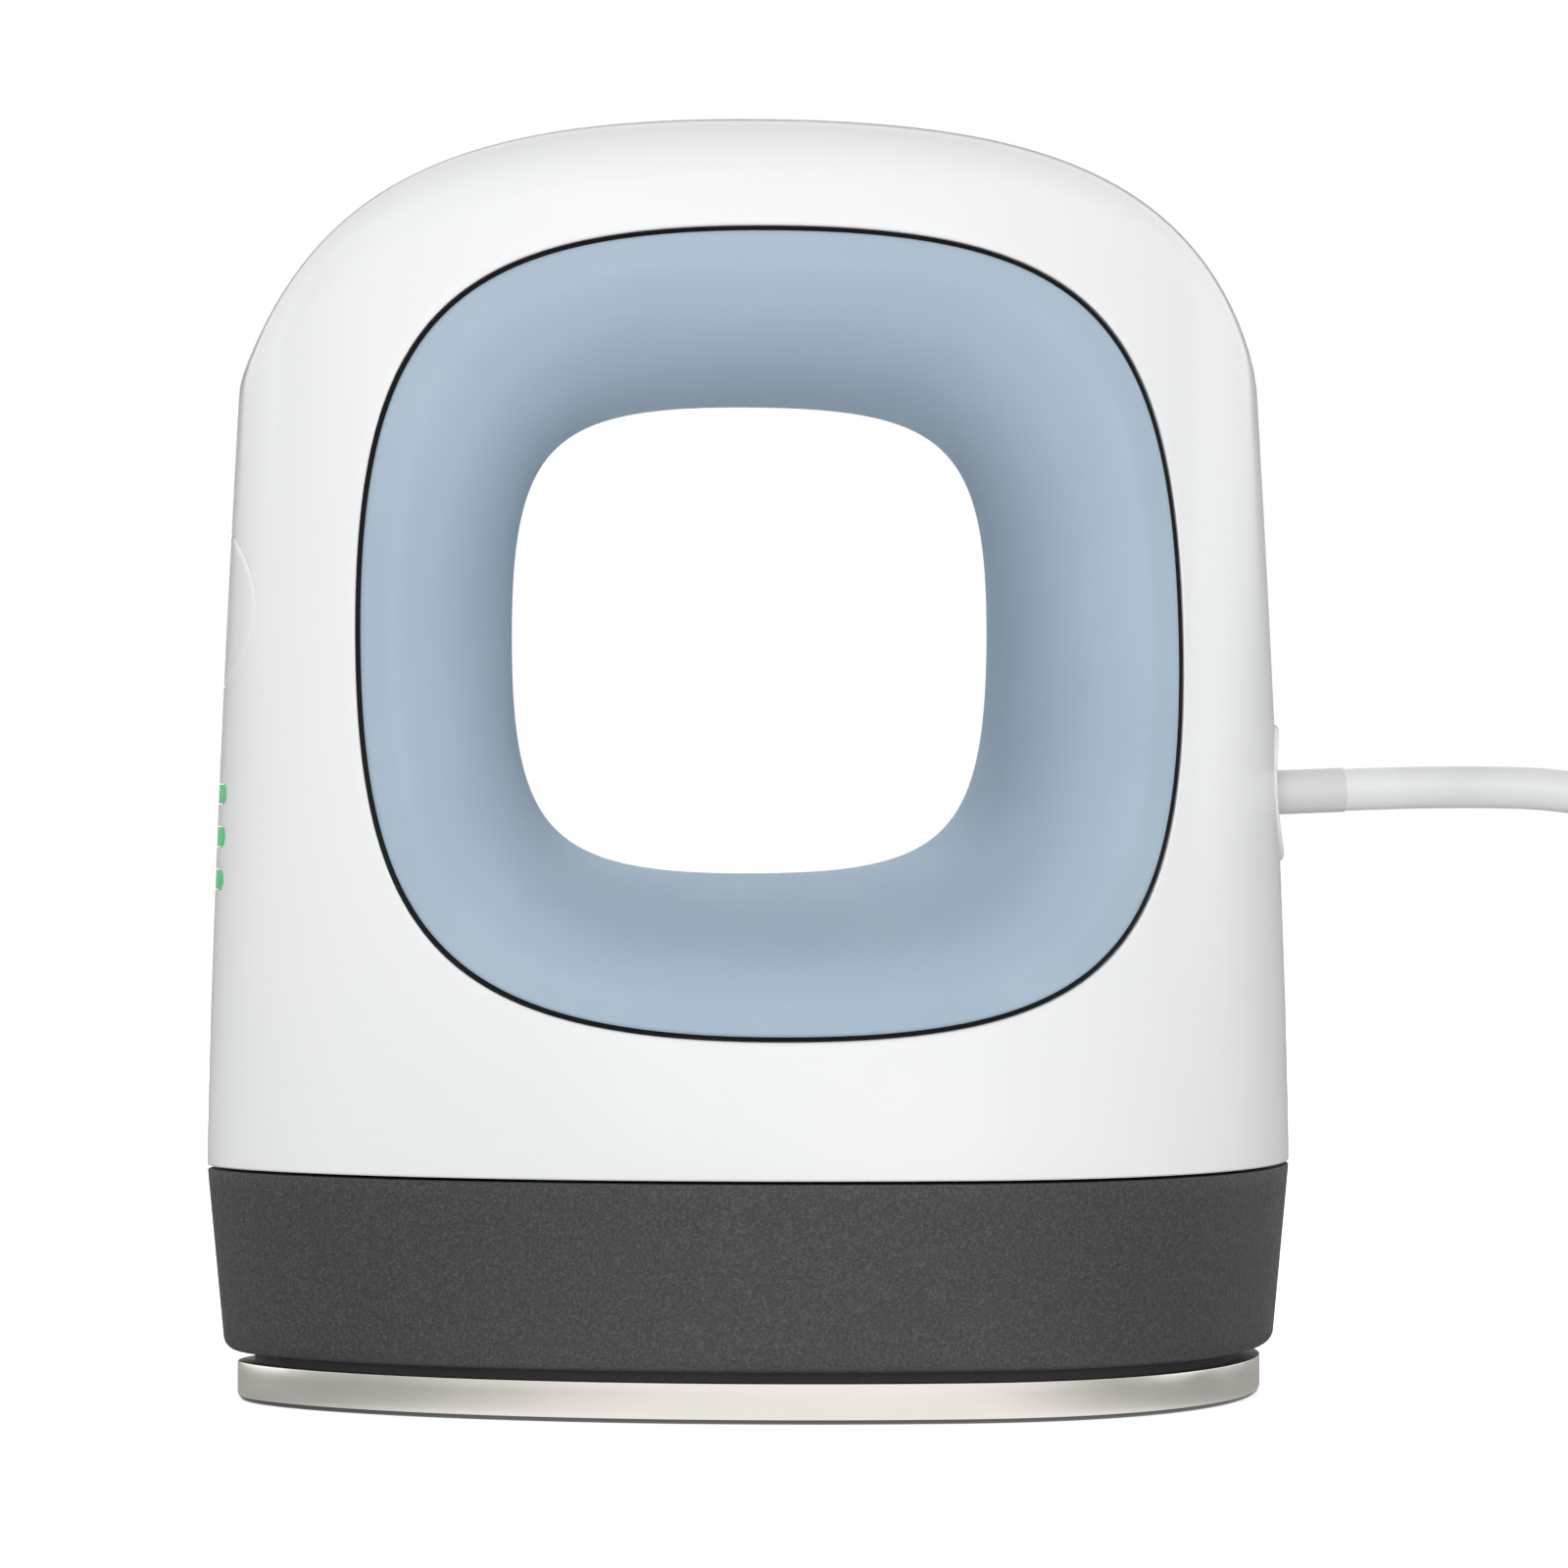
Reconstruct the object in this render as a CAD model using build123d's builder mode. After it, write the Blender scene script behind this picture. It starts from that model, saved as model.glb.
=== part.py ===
"""Mini handheld heat press: a small craft iron that is held by an arch over a hand hole.

Frame: +Z up, nose (power button) towards -X, cord towards +X, origin at the middle of the sole.
Sizes are in millimetres.
"""
from build123d import *
import math
import os

# ---------------------------------------------------------------- heat plate
PLATE_LENGTH = 82.6
PLATE_WIDTH = 48.8
PLATE_THICKNESS = 3.2
SOLE_ROUNDING = 0.8  # on the edge that slides over cloth
PAD_INSET = 7.0  # raised pad on the plate's back, from the plate's edge
PAD_THICKNESS = 3.0
POST_NOSE_X = -23.0
POST_NOSE_Y = 5.5
POST_REAR_X = 22.0
POST_REAR_Y = 12.0
POST_FLATS = 5.5
POST_HEIGHT = 6.2
POST_STUD = 3.0
POST_STUD_LENGTH = 2.6
POST_TAPPED_DEPTH = 4.4

# ---------------------------------------------------------------- heater stack
FILM_THICKNESS = 0.6
FILM_INSET = 9.0
CLAMP_THICKNESS = 1.2
CLAMP_INSET = 8.5
CLAMP_NOTCH_WIDTH = 9.0
CLAMP_SCREW_XS = (-13.0, 5.0, 19.0)
CLAMP_SCREW = 2.4
CLAMP_SCREW_HEAD = 4.6
SHIELD_THICKNESS = 0.5
SENSOR_X = -2.0
SENSOR_Y = 5.9
CUTOFF_DIAMETER = 3.6
CUTOFF_LENGTH = 11.0
THERMISTOR_DIAMETER = 2.4
THERMISTOR_LENGTH = 6.0
CHANNEL_WIDTH = 4.6
LEAD_SLOT_X = 30.5
LEAD_SLOT_LENGTH = 4.4
LEAD_SLOT_WIDTH = 15.0

# ---------------------------------------------------------------- base
NECK_GAP = 0.8  # dark recess between the plate and the skirt
NECK_FOOT_INSET = 1.4  # from the plate's edge
NECK_INSET = 3.0
NECK_WALL = 2.4
SKIRT_FOOT_LENGTH = 84.6
SKIRT_FOOT_WIDTH = 50.0
SKIRT_FOOT_ROUNDING = 1.1
SKIRT_WALL = 2.2
SKIRT_FLANGE = 1.8
SKIRT_LEDGE = 1.5  # thickness of the inner ledge under the carrier
CARRIER_THICKNESS = 2.2
LUG_WIDTH = 6.0
LUG_THICKNESS = 3.0
LUG_HEAD = 3.4  # lug above the middle of its screw hole

# ---------------------------------------------------------------- casing, outside
SEAM_HEIGHT = 18.8
SEAM_GAP = 0.25
SEAM_LENGTH = 87.4
SEAM_WIDTH = 51.4
CROWN_HEIGHT = 101.8
TOP_LENGTH = 79.8  # the column's plan carried up to the crown
TOP_WIDTH = 28.2
LEAN_POWER = 1.35
SEAM_WIDEST_X = 14.0
TOP_WIDEST_X = 11.0
# Fulness of the plan's corners, as shares of the half width (tips) and half length (flanks).
SEAM_NOSE_TIP = 0.32
TOP_NOSE_TIP = 0.78
SEAM_NOSE_FLANK = 0.63
TOP_NOSE_FLANK = 0.60
SEAM_REAR_TIP = 0.36
TOP_REAR_TIP = 0.60
SEAM_REAR_FLANK = 0.69
TOP_REAR_FLANK = 0.63
ARCH_SPRING = 45.0  # height where the arch starts to close in
ARCH_SPAN = 90.4
ARCH_FULNESS = 0.80
CROWN_ROUNDING = 6.5
CASING_WALL = 2.2
TONGUE_HEIGHT = 2.2  # lip of the casing that reaches into the skirt
TONGUE_THICKNESS = 1.2

# ---------------------------------------------------------------- hand hole and grips
HOLE_WIDTH = 38.8
HOLE_TOP = 79.6
HOLE_BOTTOM = 42.0
HOLE_FULNESS = 0.84
RIM_WIDTH = 64.8
RIM_TOP = 92.8
RIM_BOTTOM = 29.4
RIM_FULNESS = 0.783
RING_MIDDLE = 60.9  # height where hole and rim are widest
RIM_BAND = 2.8  # flush band between the rim and the throat
GRIP_WALL = 2.2
GRIP_GAP = 0.3
GRIP_SKIRT = 1.5  # wall that goes in along the rim
SHOULDER_SHARE = 0.52  # depth of the throat's shoulder, as a share of the casing's half width
LEDGE_DEPTH = 8.0  # from the middle plane to the seat of the grips
LEDGE_THICKNESS = 1.8
LEDGE_WIDTH = 4.2
RING_WALL = 1.8
CASING_SCREW = 2.2
CASING_SCREW_HEAD = 3.8
CASING_SCREW_HEAD_HEIGHT = 1.5
CASING_BOSS = 4.8
CASING_SCREW_X = 23.9
CASING_SCREW_RISE = 23.4  # from the ring's middle

# ---------------------------------------------------------------- button, lights, control board
BUTTON_HEIGHT = 63.0
BUTTON_DIAMETER = 12.1
BUTTON_GAP = 0.15
BUTTON_SKIN = 1.8
BUTTON_WALL = 1.3
BUTTON_TRAVEL = 0.6
BUTTON_BACK_X = -36.6
BUTTON_FLANGE = 14.4
BUTTON_STOP_GAP = 0.2  # between the flange and the casing wall that stops it
BUTTON_STEM = 3.4
PLUNGER_DIAMETER = 3.0
PLUNGER_GAP = 0.1
PLUNGER_PROUD = 1.0
PLUNGER_LENGTH = 1.8
SWITCH_SIDE = 6.2
SWITCH_THICKNESS = 3.2
CONTROL_X = -30.0  # front face of the control board
CONTROL_LOW = 37.0
CONTROL_HIGH = 73.0
CONTROL_WIDTH = 12.0
CONTROL_THICKNESS = 1.2
CHIP_SIDE = 5.0
CHIP_THICKNESS = 1.0
CHIP_HEIGHT = 55.0
LIGHT_HEIGHTS = (48.4, 45.0, 41.6)
LIGHT_WIDTH = 6.0
LIGHT_THICKNESS = 1.5
LIGHT_GAP = 0.1
LIGHT_BLOCK_X = -39.2
LIGHT_BLOCK_MARGIN = 0.6
LED_WIDTH = 1.6
LED_HEIGHT = 1.2
LED_THICKNESS = 0.8
RIBBON_WIDTH = 4.0
RIBBON_THICKNESS = 0.8
RIBBON_Y = 4.0
RIBBON_LEVEL = 24.5
RIBBON_END_X = -18.2

# ---------------------------------------------------------------- power board
POWER_LENGTH = 38.0
POWER_WIDTH = 29.0
POWER_THICKNESS = 1.6
STANDOFF_HEIGHT = 2.5
STANDOFF_DIAMETER = 5.0
STANDOFF_X = 15.5
STANDOFF_Y = 11.4
BOARD_SCREW = 2.4
BOARD_SCREW_HEAD = 4.4
SCREW_HEAD_HEIGHT = 1.7
TERMINAL_X = 14.2
TERMINAL_LENGTH = 8.4
TERMINAL_WIDTH = 10.0
TERMINAL_HEIGHT = 8.0
TERMINAL_WELL = 3.4
CAPACITOR_X = 1.5
CAPACITOR_LENGTH = 13.0
CAPACITOR_WIDTH = 8.0
CAPACITOR_HEIGHT = 11.0
SMOOTHING_X = -8.8
SMOOTHING_DIAMETER = 6.3
SMOOTHING_HEIGHT = 11.0
TRIAC_X = -14.6
TRIAC_WIDTH = 10.0
TRIAC_BODY = 9.0
TRIAC_TAB = 6.0
TRIAC_THICKNESS = 4.4
TRIAC_TAB_THICKNESS = 1.3
TRIAC_LEG = 2.5
TRIAC_LEG_WIDTH = 0.9
TRIAC_LEG_PITCH = 2.54
FUSE_X = -8.0
FUSE_Y = 9.4
FUSE_LENGTH = 10.0
FUSE_DIAMETER = 3.6
FUSE_CAP = 2.4
FUSE_GLASS = 3.0

# ---------------------------------------------------------------- wiring
LEAD_DIAMETER = 1.5
SENSOR_LEAD_DIAMETER = 0.9
LEAD_BEND = 2.2
MAINS_LEAD_APART = 1.9
MAINS_DROP_X = 29.6
MAINS_LEAD_Y = 2.6
MAINS_LEVEL = 23.6
HEATER_LEAD_X = 29.6
HEATER_LEAD_Y = 3.0
HEATER_LEVEL = 21.6
SENSOR_LEAD_X = 31.7
SENSOR_LEVEL = 25.4
SENSOR_LEAD_APART = 1.2
LANDING_X = 15.4
LANDING_Y = 7.0
SENSOR_LANDING_X = 10.6
SENSOR_LANDING_Y = 8.6

# ---------------------------------------------------------------- cord exit
EXIT_HEIGHT = 48.5
EXIT_TILT = 2.2  # degrees above level, square to the rear wall
SOCKET_DIAMETER = 11.1
SOCKET_GAP = 0.1
SOCKET_PROUD = 0.12
SOCKET_FLANGE = 13.2
SOCKET_FLANGE_BACK = -5.4  # places on the exit axis count outwards from the casing's face
SOCKET_BACK = -9.2
DISH_RIM = 9.6
DISH_RIM_DEPTH = 1.1
DISH_NECK = 4.6
DISH_NECK_DEPTH = 1.9
BALL_DIAMETER = 7.0
BALL_AT = -5.0
BALL_GAP = 0.08
BALL_FLAT = -7.5
GUARD_DIAMETER = 3.6
GUARD_REACH = 5.75
RETAINER_THICKNESS = 1.3
RETAINER_BORE = 4.1
RETAINER_GAP = 0.2
SWIVEL_GAP = 0.3  # between the turning ball and the leads behind it

# ---------------------------------------------------------------- cord, coil and plug
CORD_DIAMETER = 3.5
COIL_X = 138.5
COIL_Y = 1.7
COIL_MEAN_RADIUS = 21.0
COIL_PITCH = 3.55
COIL_COLUMNS = 3
COIL_ROWS = 4
COIL_STUB = 14.5
TIE_ANGLE = 200.0
TIE_WIDTH = 8.0
TIE_THICKNESS = 0.9
CORD_ROUTE = [  # after the guard's end, chosen along the lead's fall to the table
    (57.0, 0.0, 49.05),
    (69.0, -1.2, 48.7),
    (80.0, -4.0, 44.6),
    (88.5, -8.0, 36.4),
    (94.4, -12.4, 26.6),
    (98.9, -16.2, 17.2),
    (104.2, -19.6, 9.2),
    (110.0, -21.8, 4.2),
    (116.6, -22.85, 1.75),
]
TAIL_ROUTE = [  # after the coil's end, round and back to the plug that lies on the coil
    (163.7, -22.85, 12.4),
    (173.0, -17.5, 13.4),
    (178.35, -8.2, 15.3),
    (178.35, 2.5, 17.5),
    (173.0, 11.8, 19.4),
    (163.7, 17.15, 20.15),
]
PLUG_CABLE_X = 153.0
PLUG_Y = 17.15
PLUG_RELIEF_LENGTH = 12.0
PLUG_RELIEF_THIN = 5.0
PLUG_RELIEF_THICK = 8.4
PLUG_LENGTH = 25.0
PLUG_WIDTH = 19.0
PLUG_DEPTH = 12.0
PLUG_ROUNDING = 3.0
PLUG_EDGE = 1.2
BLADE_LENGTH = 16.0
BLADE_WIDTH = 6.3
BLADE_THICKNESS = 1.5
BLADE_SPACING = 12.7
BLADE_HOLE = 3.0
BLADE_HOLE_FROM_TIP = 4.0

# ---------------------------------------------------------------- levels that follow from these
PAD_TOP = PLATE_THICKNESS + PAD_THICKNESS
FILM_TOP = PAD_TOP + FILM_THICKNESS
CLAMP_TOP = FILM_TOP + CLAMP_THICKNESS
POST_TOP = PAD_TOP + POST_HEIGHT
CARRIER_BOTTOM = POST_TOP + SHIELD_THICKNESS
CARRIER_TOP = CARRIER_BOTTOM + CARRIER_THICKNESS
SKIRT_BOTTOM = PLATE_THICKNESS + NECK_GAP
SKIRT_TOP = SEAM_HEIGHT - SEAM_GAP
POWER_BOTTOM = CARRIER_TOP + STANDOFF_HEIGHT
POWER_TOP = POWER_BOTTOM + POWER_THICKNESS
SWITCH_FRONT = CONTROL_X - SWITCH_THICKNESS
BOSS_DEPTH = LEDGE_DEPTH - LEDGE_THICKNESS
FIT = 0.1  # between pieces that sit in each other
THREAD_FIT = 0.05  # round a screw in its thread
SCREW_FIT = 0.2  # round a screw that passes through
FAR = 60.0  # past the object's sides, for cuts that go right through
POST_PLACES = [
    (POST_NOSE_X, -POST_NOSE_Y),
    (POST_NOSE_X, POST_NOSE_Y),
    (POST_REAR_X, -POST_REAR_Y),
    (POST_REAR_X, POST_REAR_Y),
]
CLAMP_SCREW_PLACES = [(x, 0) for x in CLAMP_SCREW_XS]
STANDOFF_PLACES = [(x, y) for x in (-STANDOFF_X, STANDOFF_X) for y in (-STANDOFF_Y, STANDOFF_Y)]
LUG_PLACES = [(x, RING_MIDDLE - CASING_SCREW_RISE) for x in (-CASING_SCREW_X, CASING_SCREW_X)]
UPPER_PLACES = [(x, RING_MIDDLE + CASING_SCREW_RISE) for x in (-CASING_SCREW_X, CASING_SCREW_X)]
CASING_SCREW_PLACES = LUG_PLACES + UPPER_PLACES

os.makedirs("parts", exist_ok=True)


def at_height(places, height):
    """Places in plan, lifted to a height."""
    return [(x, y, height) for x, y in places]


def between(low, high, share):
    """The value a share of the way from low to high."""
    return low + (high - low) * share


def rise(height):
    """Share of the way from the seam to the crown."""
    return max(0.0, (height - SEAM_HEIGHT) / (CROWN_HEIGHT - SEAM_HEIGHT))


def casing_half_length(height):
    """Half length of the casing's column at a height."""
    return between(SEAM_LENGTH, TOP_LENGTH, rise(height) ** LEAN_POWER) / 2


def casing_half_width(height):
    """Half width of the casing's column at a height."""
    return between(SEAM_WIDTH, TOP_WIDTH, rise(height) ** LEAN_POWER) / 2


def plan_outline(half_length, half_width, share=0.0):
    """Iron-like outline in plan, from the pointed seam form (share 0) to the blunt top form (1)."""
    widest = between(SEAM_WIDEST_X, TOP_WIDEST_X, share)
    nose_tip = between(SEAM_NOSE_TIP, TOP_NOSE_TIP, share)
    nose_flank = between(SEAM_NOSE_FLANK, TOP_NOSE_FLANK, share)
    rear_tip = between(SEAM_REAR_TIP, TOP_REAR_TIP, share)
    rear_flank = between(SEAM_REAR_FLANK, TOP_REAR_FLANK, share)
    ends = ((-half_length, nose_tip, nose_flank), (half_length, rear_tip, rear_flank))
    with BuildSketch() as outline:
        with BuildLine():
            for side in (-half_width, half_width):
                for end, tip, flank in ends:
                    Bezier((end, 0), (end, tip * side), (between(widest, end, flank), side), (widest, side))
        make_face()
    return outline.sketch


def plate_outline(inset):
    """The plate's outline, moved inwards."""
    return plan_outline(PLATE_LENGTH / 2 - inset, PLATE_WIDTH / 2 - inset)


def skirt_outline(height, inset):
    """The skirt's outline at a height, moved inwards."""
    share = (height - SKIRT_BOTTOM) / (SEAM_HEIGHT - SKIRT_BOTTOM)
    half_length = between(SKIRT_FOOT_LENGTH, SEAM_LENGTH, share) / 2
    half_width = between(SKIRT_FOOT_WIDTH, SEAM_WIDTH, share) / 2
    return plan_outline(half_length - inset, half_width - inset)


def ring_outline(half_width, low, high, fulness):
    """Squarish ring outline, as seen along Y, between two heights."""
    with BuildSketch() as outline:
        with BuildLine():
            for side in (-half_width, half_width):
                for end in (low, high):
                    shoulder = between(RING_MIDDLE, end, fulness)
                    Bezier((side, RING_MIDDLE), (side, shoulder), (fulness * side, end), (0, end))
        make_face()
    return outline.sketch


def rim_outline(inset):
    """The outline where the grips meet the casing, moved inwards."""
    return ring_outline(RIM_WIDTH / 2 - inset, RIM_BOTTOM + inset, RIM_TOP - inset, RIM_FULNESS)


def casing_form(inset):
    """The casing's outer form with its rounded crown, or that form moved inwards."""
    with BuildPart() as form:
        for level in (0, 0.35, 0.7, 1.05):  # the last is a little above the crown
            height = between(SEAM_HEIGHT, CROWN_HEIGHT, level)
            with BuildSketch(Plane.XY.offset(height)):
                half_length = casing_half_length(height) - inset
                add(plan_outline(half_length, casing_half_width(height) - inset, level))
        loft()
        crown = CROWN_HEIGHT - inset
        half_span = ARCH_SPAN / 2 - inset
        with BuildSketch(Plane.XZ.offset(-FAR)):
            with BuildLine():
                for side in (-half_span, half_span):
                    shoulder = between(ARCH_SPRING, crown, ARCH_FULNESS)
                    Bezier((side, ARCH_SPRING), (side, shoulder), (ARCH_FULNESS * side, crown), (0, crown))
                Polyline((-half_span, ARCH_SPRING), (-half_span, 0), (half_span, 0))
                Line((half_span, 0), (half_span, ARCH_SPRING))
            make_face()
        extrude(amount=2 * FAR, mode=Mode.INTERSECT)
        top = form.faces().sort_by(Axis.Z)[-1]
        fillet(top.edges(), radius=CROWN_ROUNDING - inset)
    return form.part


def flare_share(depth, height):
    """Share of the throat's flare that is left behind at a depth from the middle, as on a quarter ellipse."""
    return 1 - math.sqrt(1 - (depth / casing_half_width(height)) ** 2)


def throat_form(band, grown):
    """Solid inside a surface that flares from the hand hole to the casing's faces.

    At the faces it ends a band's width inside the rim, and at the middle plane it is as wide as the
    hand hole, grown by a wall.
    """
    with BuildPart() as plug:
        add(outer_form)
        with BuildSketch(Plane.XZ.offset(-FAR)):
            add(rim_outline(band))
        extrude(amount=2 * FAR, mode=Mode.INTERSECT)
    ends = plug.faces().sort_by(Axis.Y)
    waist = (HOLE_WIDTH / 2 + grown, HOLE_BOTTOM - grown, HOLE_TOP + grown)
    faces = (RIM_WIDTH / 2 - band, RIM_BOTTOM + band, RIM_TOP - band)
    depth = SHOULDER_SHARE * casing_half_width(RING_MIDDLE)
    shares = [flare_share(depth, height) for height in (RING_MIDDLE, RIM_BOTTOM, RIM_TOP)]
    shoulder = [between(low, high, share) for low, high, share in zip(waist, faces, shares)]
    rims = [ends[0].outer_wire()]
    for place, sizes in ((depth, shoulder), (0, waist), (-depth, shoulder)):
        with BuildSketch(Plane.XZ.offset(place)) as section:
            add(ring_outline(*sizes, HOLE_FULNESS))
        rims.append(section.sketch.face().outer_wire())
    flare = Shell.make_loft([*rims, ends[-1].outer_wire()])
    return Part() + Solid(Shell([*flare.faces(), ends[0], ends[-1]]))


def pan_screws(places, plane, shank, length, head, head_height):
    """Pan-head screws whose heads stand on a plane, with their shanks going down through it."""
    with BuildPart() as screws:
        with BuildSketch(plane):
            with Locations(*places):
                Circle(shank / 2)
        extrude(amount=-length)
        with BuildSketch(plane):
            with Locations(*places):
                Circle(head / 2)
        extrude(amount=head_height)
        crowns = screws.faces().group_by(Axis(plane.origin, plane.z_dir))[-1]
        chamfer(crowns.edges(), length=head_height / 4)
    return screws.part


def lead(points, diameter):
    """A round lead along straight runs with rounded corners."""
    with BuildPart() as wire:
        with BuildLine() as path:
            FilletPolyline(*points, radius=LEAD_BEND)
        with BuildSketch(Plane(path.line @ 0, z_dir=path.line % 0)):
            Circle(diameter / 2)
        sweep(path=path.wires()[0])
    return wire.part


def write(part, name):
    """Label a finished piece and write its STEP file."""
    part.label = name
    export_step(part, f"parts/{name}.step")


# ================================================================ heat plate and heater stack
with BuildPart() as heat_plate:
    with BuildSketch():
        add(plate_outline(0))
    extrude(amount=PLATE_THICKNESS)
    fillet(heat_plate.faces().sort_by(Axis.Z)[0].edges(), radius=SOLE_ROUNDING)
    with BuildSketch(Plane.XY.offset(PLATE_THICKNESS)):
        add(plate_outline(PAD_INSET))
    extrude(amount=PAD_THICKNESS)
    with Locations(*at_height(POST_PLACES, PAD_TOP)):
        Hole(POST_STUD / 2 + THREAD_FIT, depth=POST_STUD_LENGTH + FIT)
    with Locations(*at_height(CLAMP_SCREW_PLACES, PAD_TOP)):
        Hole(CLAMP_SCREW / 2 + THREAD_FIT, depth=PAD_THICKNESS)
write(heat_plate.part, "heat_plate")

with BuildPart() as heater_film:
    with BuildSketch(Plane.XY.offset(PAD_TOP)):
        add(plate_outline(FILM_INSET))
        with Locations(*POST_PLACES):
            Circle(POST_FLATS / 2 + 1, mode=Mode.SUBTRACT)
        with Locations(*CLAMP_SCREW_PLACES):
            Circle(CLAMP_SCREW / 2 + SCREW_FIT, mode=Mode.SUBTRACT)
    extrude(amount=FILM_THICKNESS)
write(heater_film.part, "heater_film")

# The clamp plate leaves the film bare at its rear end, where the leads are joined.
with BuildPart() as heater_clamp:
    with BuildSketch(Plane.XY.offset(FILM_TOP)):
        add(plate_outline(CLAMP_INSET))
        with Locations(*POST_PLACES):
            Circle(POST_FLATS / 2 + 1, mode=Mode.SUBTRACT)
        with Locations(*CLAMP_SCREW_PLACES):
            Circle(CLAMP_SCREW / 2 + SCREW_FIT, mode=Mode.SUBTRACT)
        with Locations((LEAD_SLOT_X + LEAD_SLOT_LENGTH / 2, 0)):
            Rectangle(2 * LEAD_SLOT_LENGTH, CLAMP_NOTCH_WIDTH, mode=Mode.SUBTRACT)
    extrude(amount=CLAMP_THICKNESS)
write(heater_clamp.part, "heater_clamp")

clamp_screws = pan_screws(
    CLAMP_SCREW_PLACES,
    Plane.XY.offset(CLAMP_TOP),
    CLAMP_SCREW,
    CLAMP_TOP - PLATE_THICKNESS - FIT,
    CLAMP_SCREW_HEAD,
    SCREW_HEAD_HEIGHT,
)
write(clamp_screws, "clamp_screws")

with BuildPart() as plate_posts:
    with BuildSketch(Plane.XY.offset(PAD_TOP)):
        with Locations(*POST_PLACES):
            RegularPolygon(POST_FLATS / 2, 6, major_radius=False)
    extrude(amount=POST_HEIGHT)
    with BuildSketch(Plane.XY.offset(PAD_TOP)):
        with Locations(*POST_PLACES):
            Circle(POST_STUD / 2)
    extrude(amount=-POST_STUD_LENGTH)
    with Locations(*at_height(POST_PLACES, POST_TOP)):
        Hole(POST_STUD / 2 + THREAD_FIT, depth=POST_TAPPED_DEPTH)
write(plate_posts.part, "plate_posts")

with BuildPart() as thermal_cutoff:
    with BuildSketch(Plane.YZ.offset(SENSOR_X)):
        with Locations((SENSOR_Y, CLAMP_TOP + CUTOFF_DIAMETER / 2)):
            Circle(CUTOFF_DIAMETER / 2)
    extrude(amount=CUTOFF_LENGTH)
    chamfer(thermal_cutoff.edges().filter_by(GeomType.CIRCLE), length=CUTOFF_DIAMETER / 6)
write(thermal_cutoff.part, "thermal_cutoff")

with BuildPart() as thermistor:
    with BuildSketch(Plane.YZ.offset(SENSOR_X)):
        with Locations((-SENSOR_Y, CLAMP_TOP + THERMISTOR_DIAMETER / 2)):
            Circle(THERMISTOR_DIAMETER / 2)
    extrude(amount=THERMISTOR_LENGTH)
    nose_edge = thermistor.edges().filter_by(GeomType.CIRCLE).group_by(Axis.X)[0]
    fillet(nose_edge, radius=THERMISTOR_DIAMETER / 3)
write(thermistor.part, "thermistor")

# Ceramic-fibre pad with two channels for the cut-off, the thermistor and their leads.
INSULATION_INSET = NECK_INSET + NECK_WALL + FIT
CHANNEL_START = SENSOR_X - 1
CHANNEL_MIDDLE = (CHANNEL_START + LEAD_SLOT_X) / 2
with BuildPart() as insulation_pad:
    with BuildSketch(Plane.XY.offset(CLAMP_TOP)):
        add(plate_outline(INSULATION_INSET))
        with Locations(*POST_PLACES):
            Circle(POST_FLATS / 2 + 1, mode=Mode.SUBTRACT)
        with Locations(*CLAMP_SCREW_PLACES):
            Circle(CLAMP_SCREW_HEAD / 2 + SCREW_FIT, mode=Mode.SUBTRACT)
        with Locations((LEAD_SLOT_X, 0)):
            Rectangle(LEAD_SLOT_LENGTH, LEAD_SLOT_WIDTH, mode=Mode.SUBTRACT)
        with Locations((CHANNEL_MIDDLE, -SENSOR_Y), (CHANNEL_MIDDLE, SENSOR_Y)):
            Rectangle(LEAD_SLOT_X - CHANNEL_START, CHANNEL_WIDTH, mode=Mode.SUBTRACT)
    extrude(amount=POST_TOP - CLAMP_TOP)
write(insulation_pad.part, "insulation_pad")

with BuildPart() as heat_shield:
    with BuildSketch(Plane.XY.offset(POST_TOP)):
        add(plate_outline(INSULATION_INSET))
        with Locations(*POST_PLACES):
            Circle(POST_STUD / 2 + SCREW_FIT, mode=Mode.SUBTRACT)
        with Locations((LEAD_SLOT_X, 0)):
            Rectangle(LEAD_SLOT_LENGTH, LEAD_SLOT_WIDTH, mode=Mode.SUBTRACT)
    extrude(amount=SHIELD_THICKNESS)
write(heat_shield.part, "heat_shield")

# ================================================================ base
# The neck ring stands on the plate. The skirt's flange rests on its foot.
with BuildPart() as neck_ring:
    with BuildSketch(Plane.XY.offset(PLATE_THICKNESS)):
        add(plate_outline(NECK_FOOT_INSET))
        add(plate_outline(NECK_INSET + NECK_WALL), mode=Mode.SUBTRACT)
    extrude(amount=NECK_GAP)
    with BuildSketch(Plane.XY.offset(SKIRT_BOTTOM)):
        add(plate_outline(NECK_INSET))
        add(plate_outline(NECK_INSET + NECK_WALL), mode=Mode.SUBTRACT)
    extrude(amount=CARRIER_BOTTOM - SKIRT_BOTTOM)
write(neck_ring.part, "neck_ring")

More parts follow.
